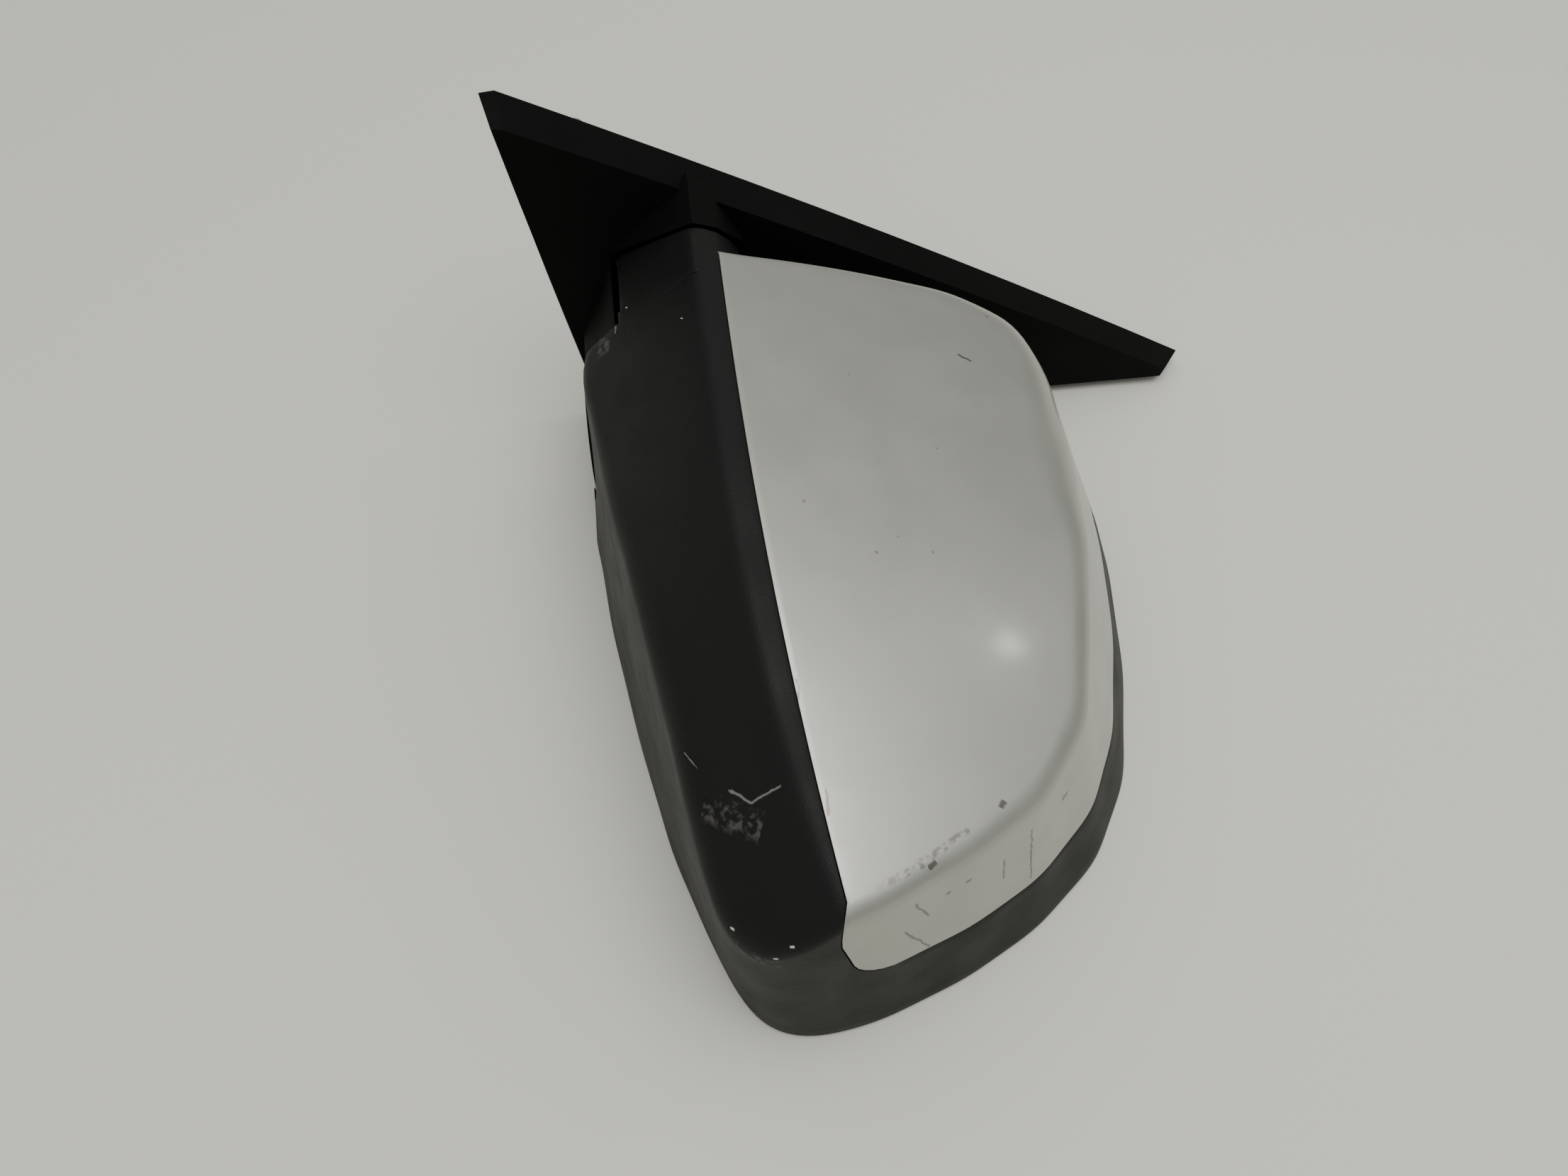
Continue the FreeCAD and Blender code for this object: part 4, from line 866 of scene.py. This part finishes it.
world = bpy.data.worlds.new("room")
bpy.context.scene.world = world
world.use_nodes = True
sky = world.node_tree
direction = sky.nodes.new("ShaderNodeTexCoord").outputs["Generated"]
height = sky.nodes.new("ShaderNodeSeparateXYZ")
sky.links.new(direction, height.inputs[0])
SKY_COLOUR = (0.80, 0.80, 0.77, 1.0)
SKY_DIM = 0.58
SKY_BRIGHT = 1.3
sky.nodes["Background"].inputs[0].default_value = SKY_COLOUR
sky_strength = ramp(sky, height.outputs["Y"], 0.5, 0.92, SKY_DIM, SKY_BRIGHT)
sky.links.new(sky_strength, sky.nodes["Background"].inputs[1])
LAMP_COLOUR = (1.0, 0.99, 0.96)


def lamp(name, place_m, way, size_m, power):
    """A round lamp at a place; it shines against the way given."""
    light = bpy.data.lights.new(name, "AREA")
    light.shape = "DISK"
    light.size = size_m
    light.energy = power
    light.color = LAMP_COLOUR
    obj = bpy.data.objects.new(name, light)
    bpy.context.scene.collection.objects.link(obj)
    obj.location = place_m
    obj.rotation_euler = way.to_track_quat("Z", "Y").to_euler()


CEILING = at(300.0, 250.0, 1300.0)
lamp("ceiling", CEILING, CEILING - at(130.0, 90.0, 60.0), 1.0, 9.0)
# A small lamp stands where the cap mirrors it to the camera, as a highlight.
GLINT_SPOT = Vector((-0.1768, 0.0272, 0.0665))
GLINT_WAY = Vector((0.2332, 0.6843, 0.6909))
GLINT_DISTANCE = 1.5
lamp("strip", GLINT_SPOT + GLINT_WAY * GLINT_DISTANCE, GLINT_WAY, 0.05, 0.45)

camera_data = bpy.data.cameras.new("camera")
camera_data.lens = 31.05
camera_data.sensor_width = 36.0
camera = bpy.data.objects.new("camera", camera_data)
bpy.context.scene.collection.objects.link(camera)
# The camera looks along LOOK_WAY; picture right is as near RIGHT_WAY as that allows.
LOOK_WAY = Vector((0.5409, -0.8387, 0.0637))
RIGHT_WAY = Vector((-0.1170, 0.0, 0.9931))
CAMERA_PLACE = at(351.8, 29.7, 418.6)
back = -LOOK_WAY.normalized()
top = back.cross(RIGHT_WAY.normalized()).normalized()
right = top.cross(back).normalized()
camera.matrix_world = Matrix((right, top, back)).transposed().to_4x4()
camera.location = CAMERA_PLACE
bpy.context.scene.camera = camera
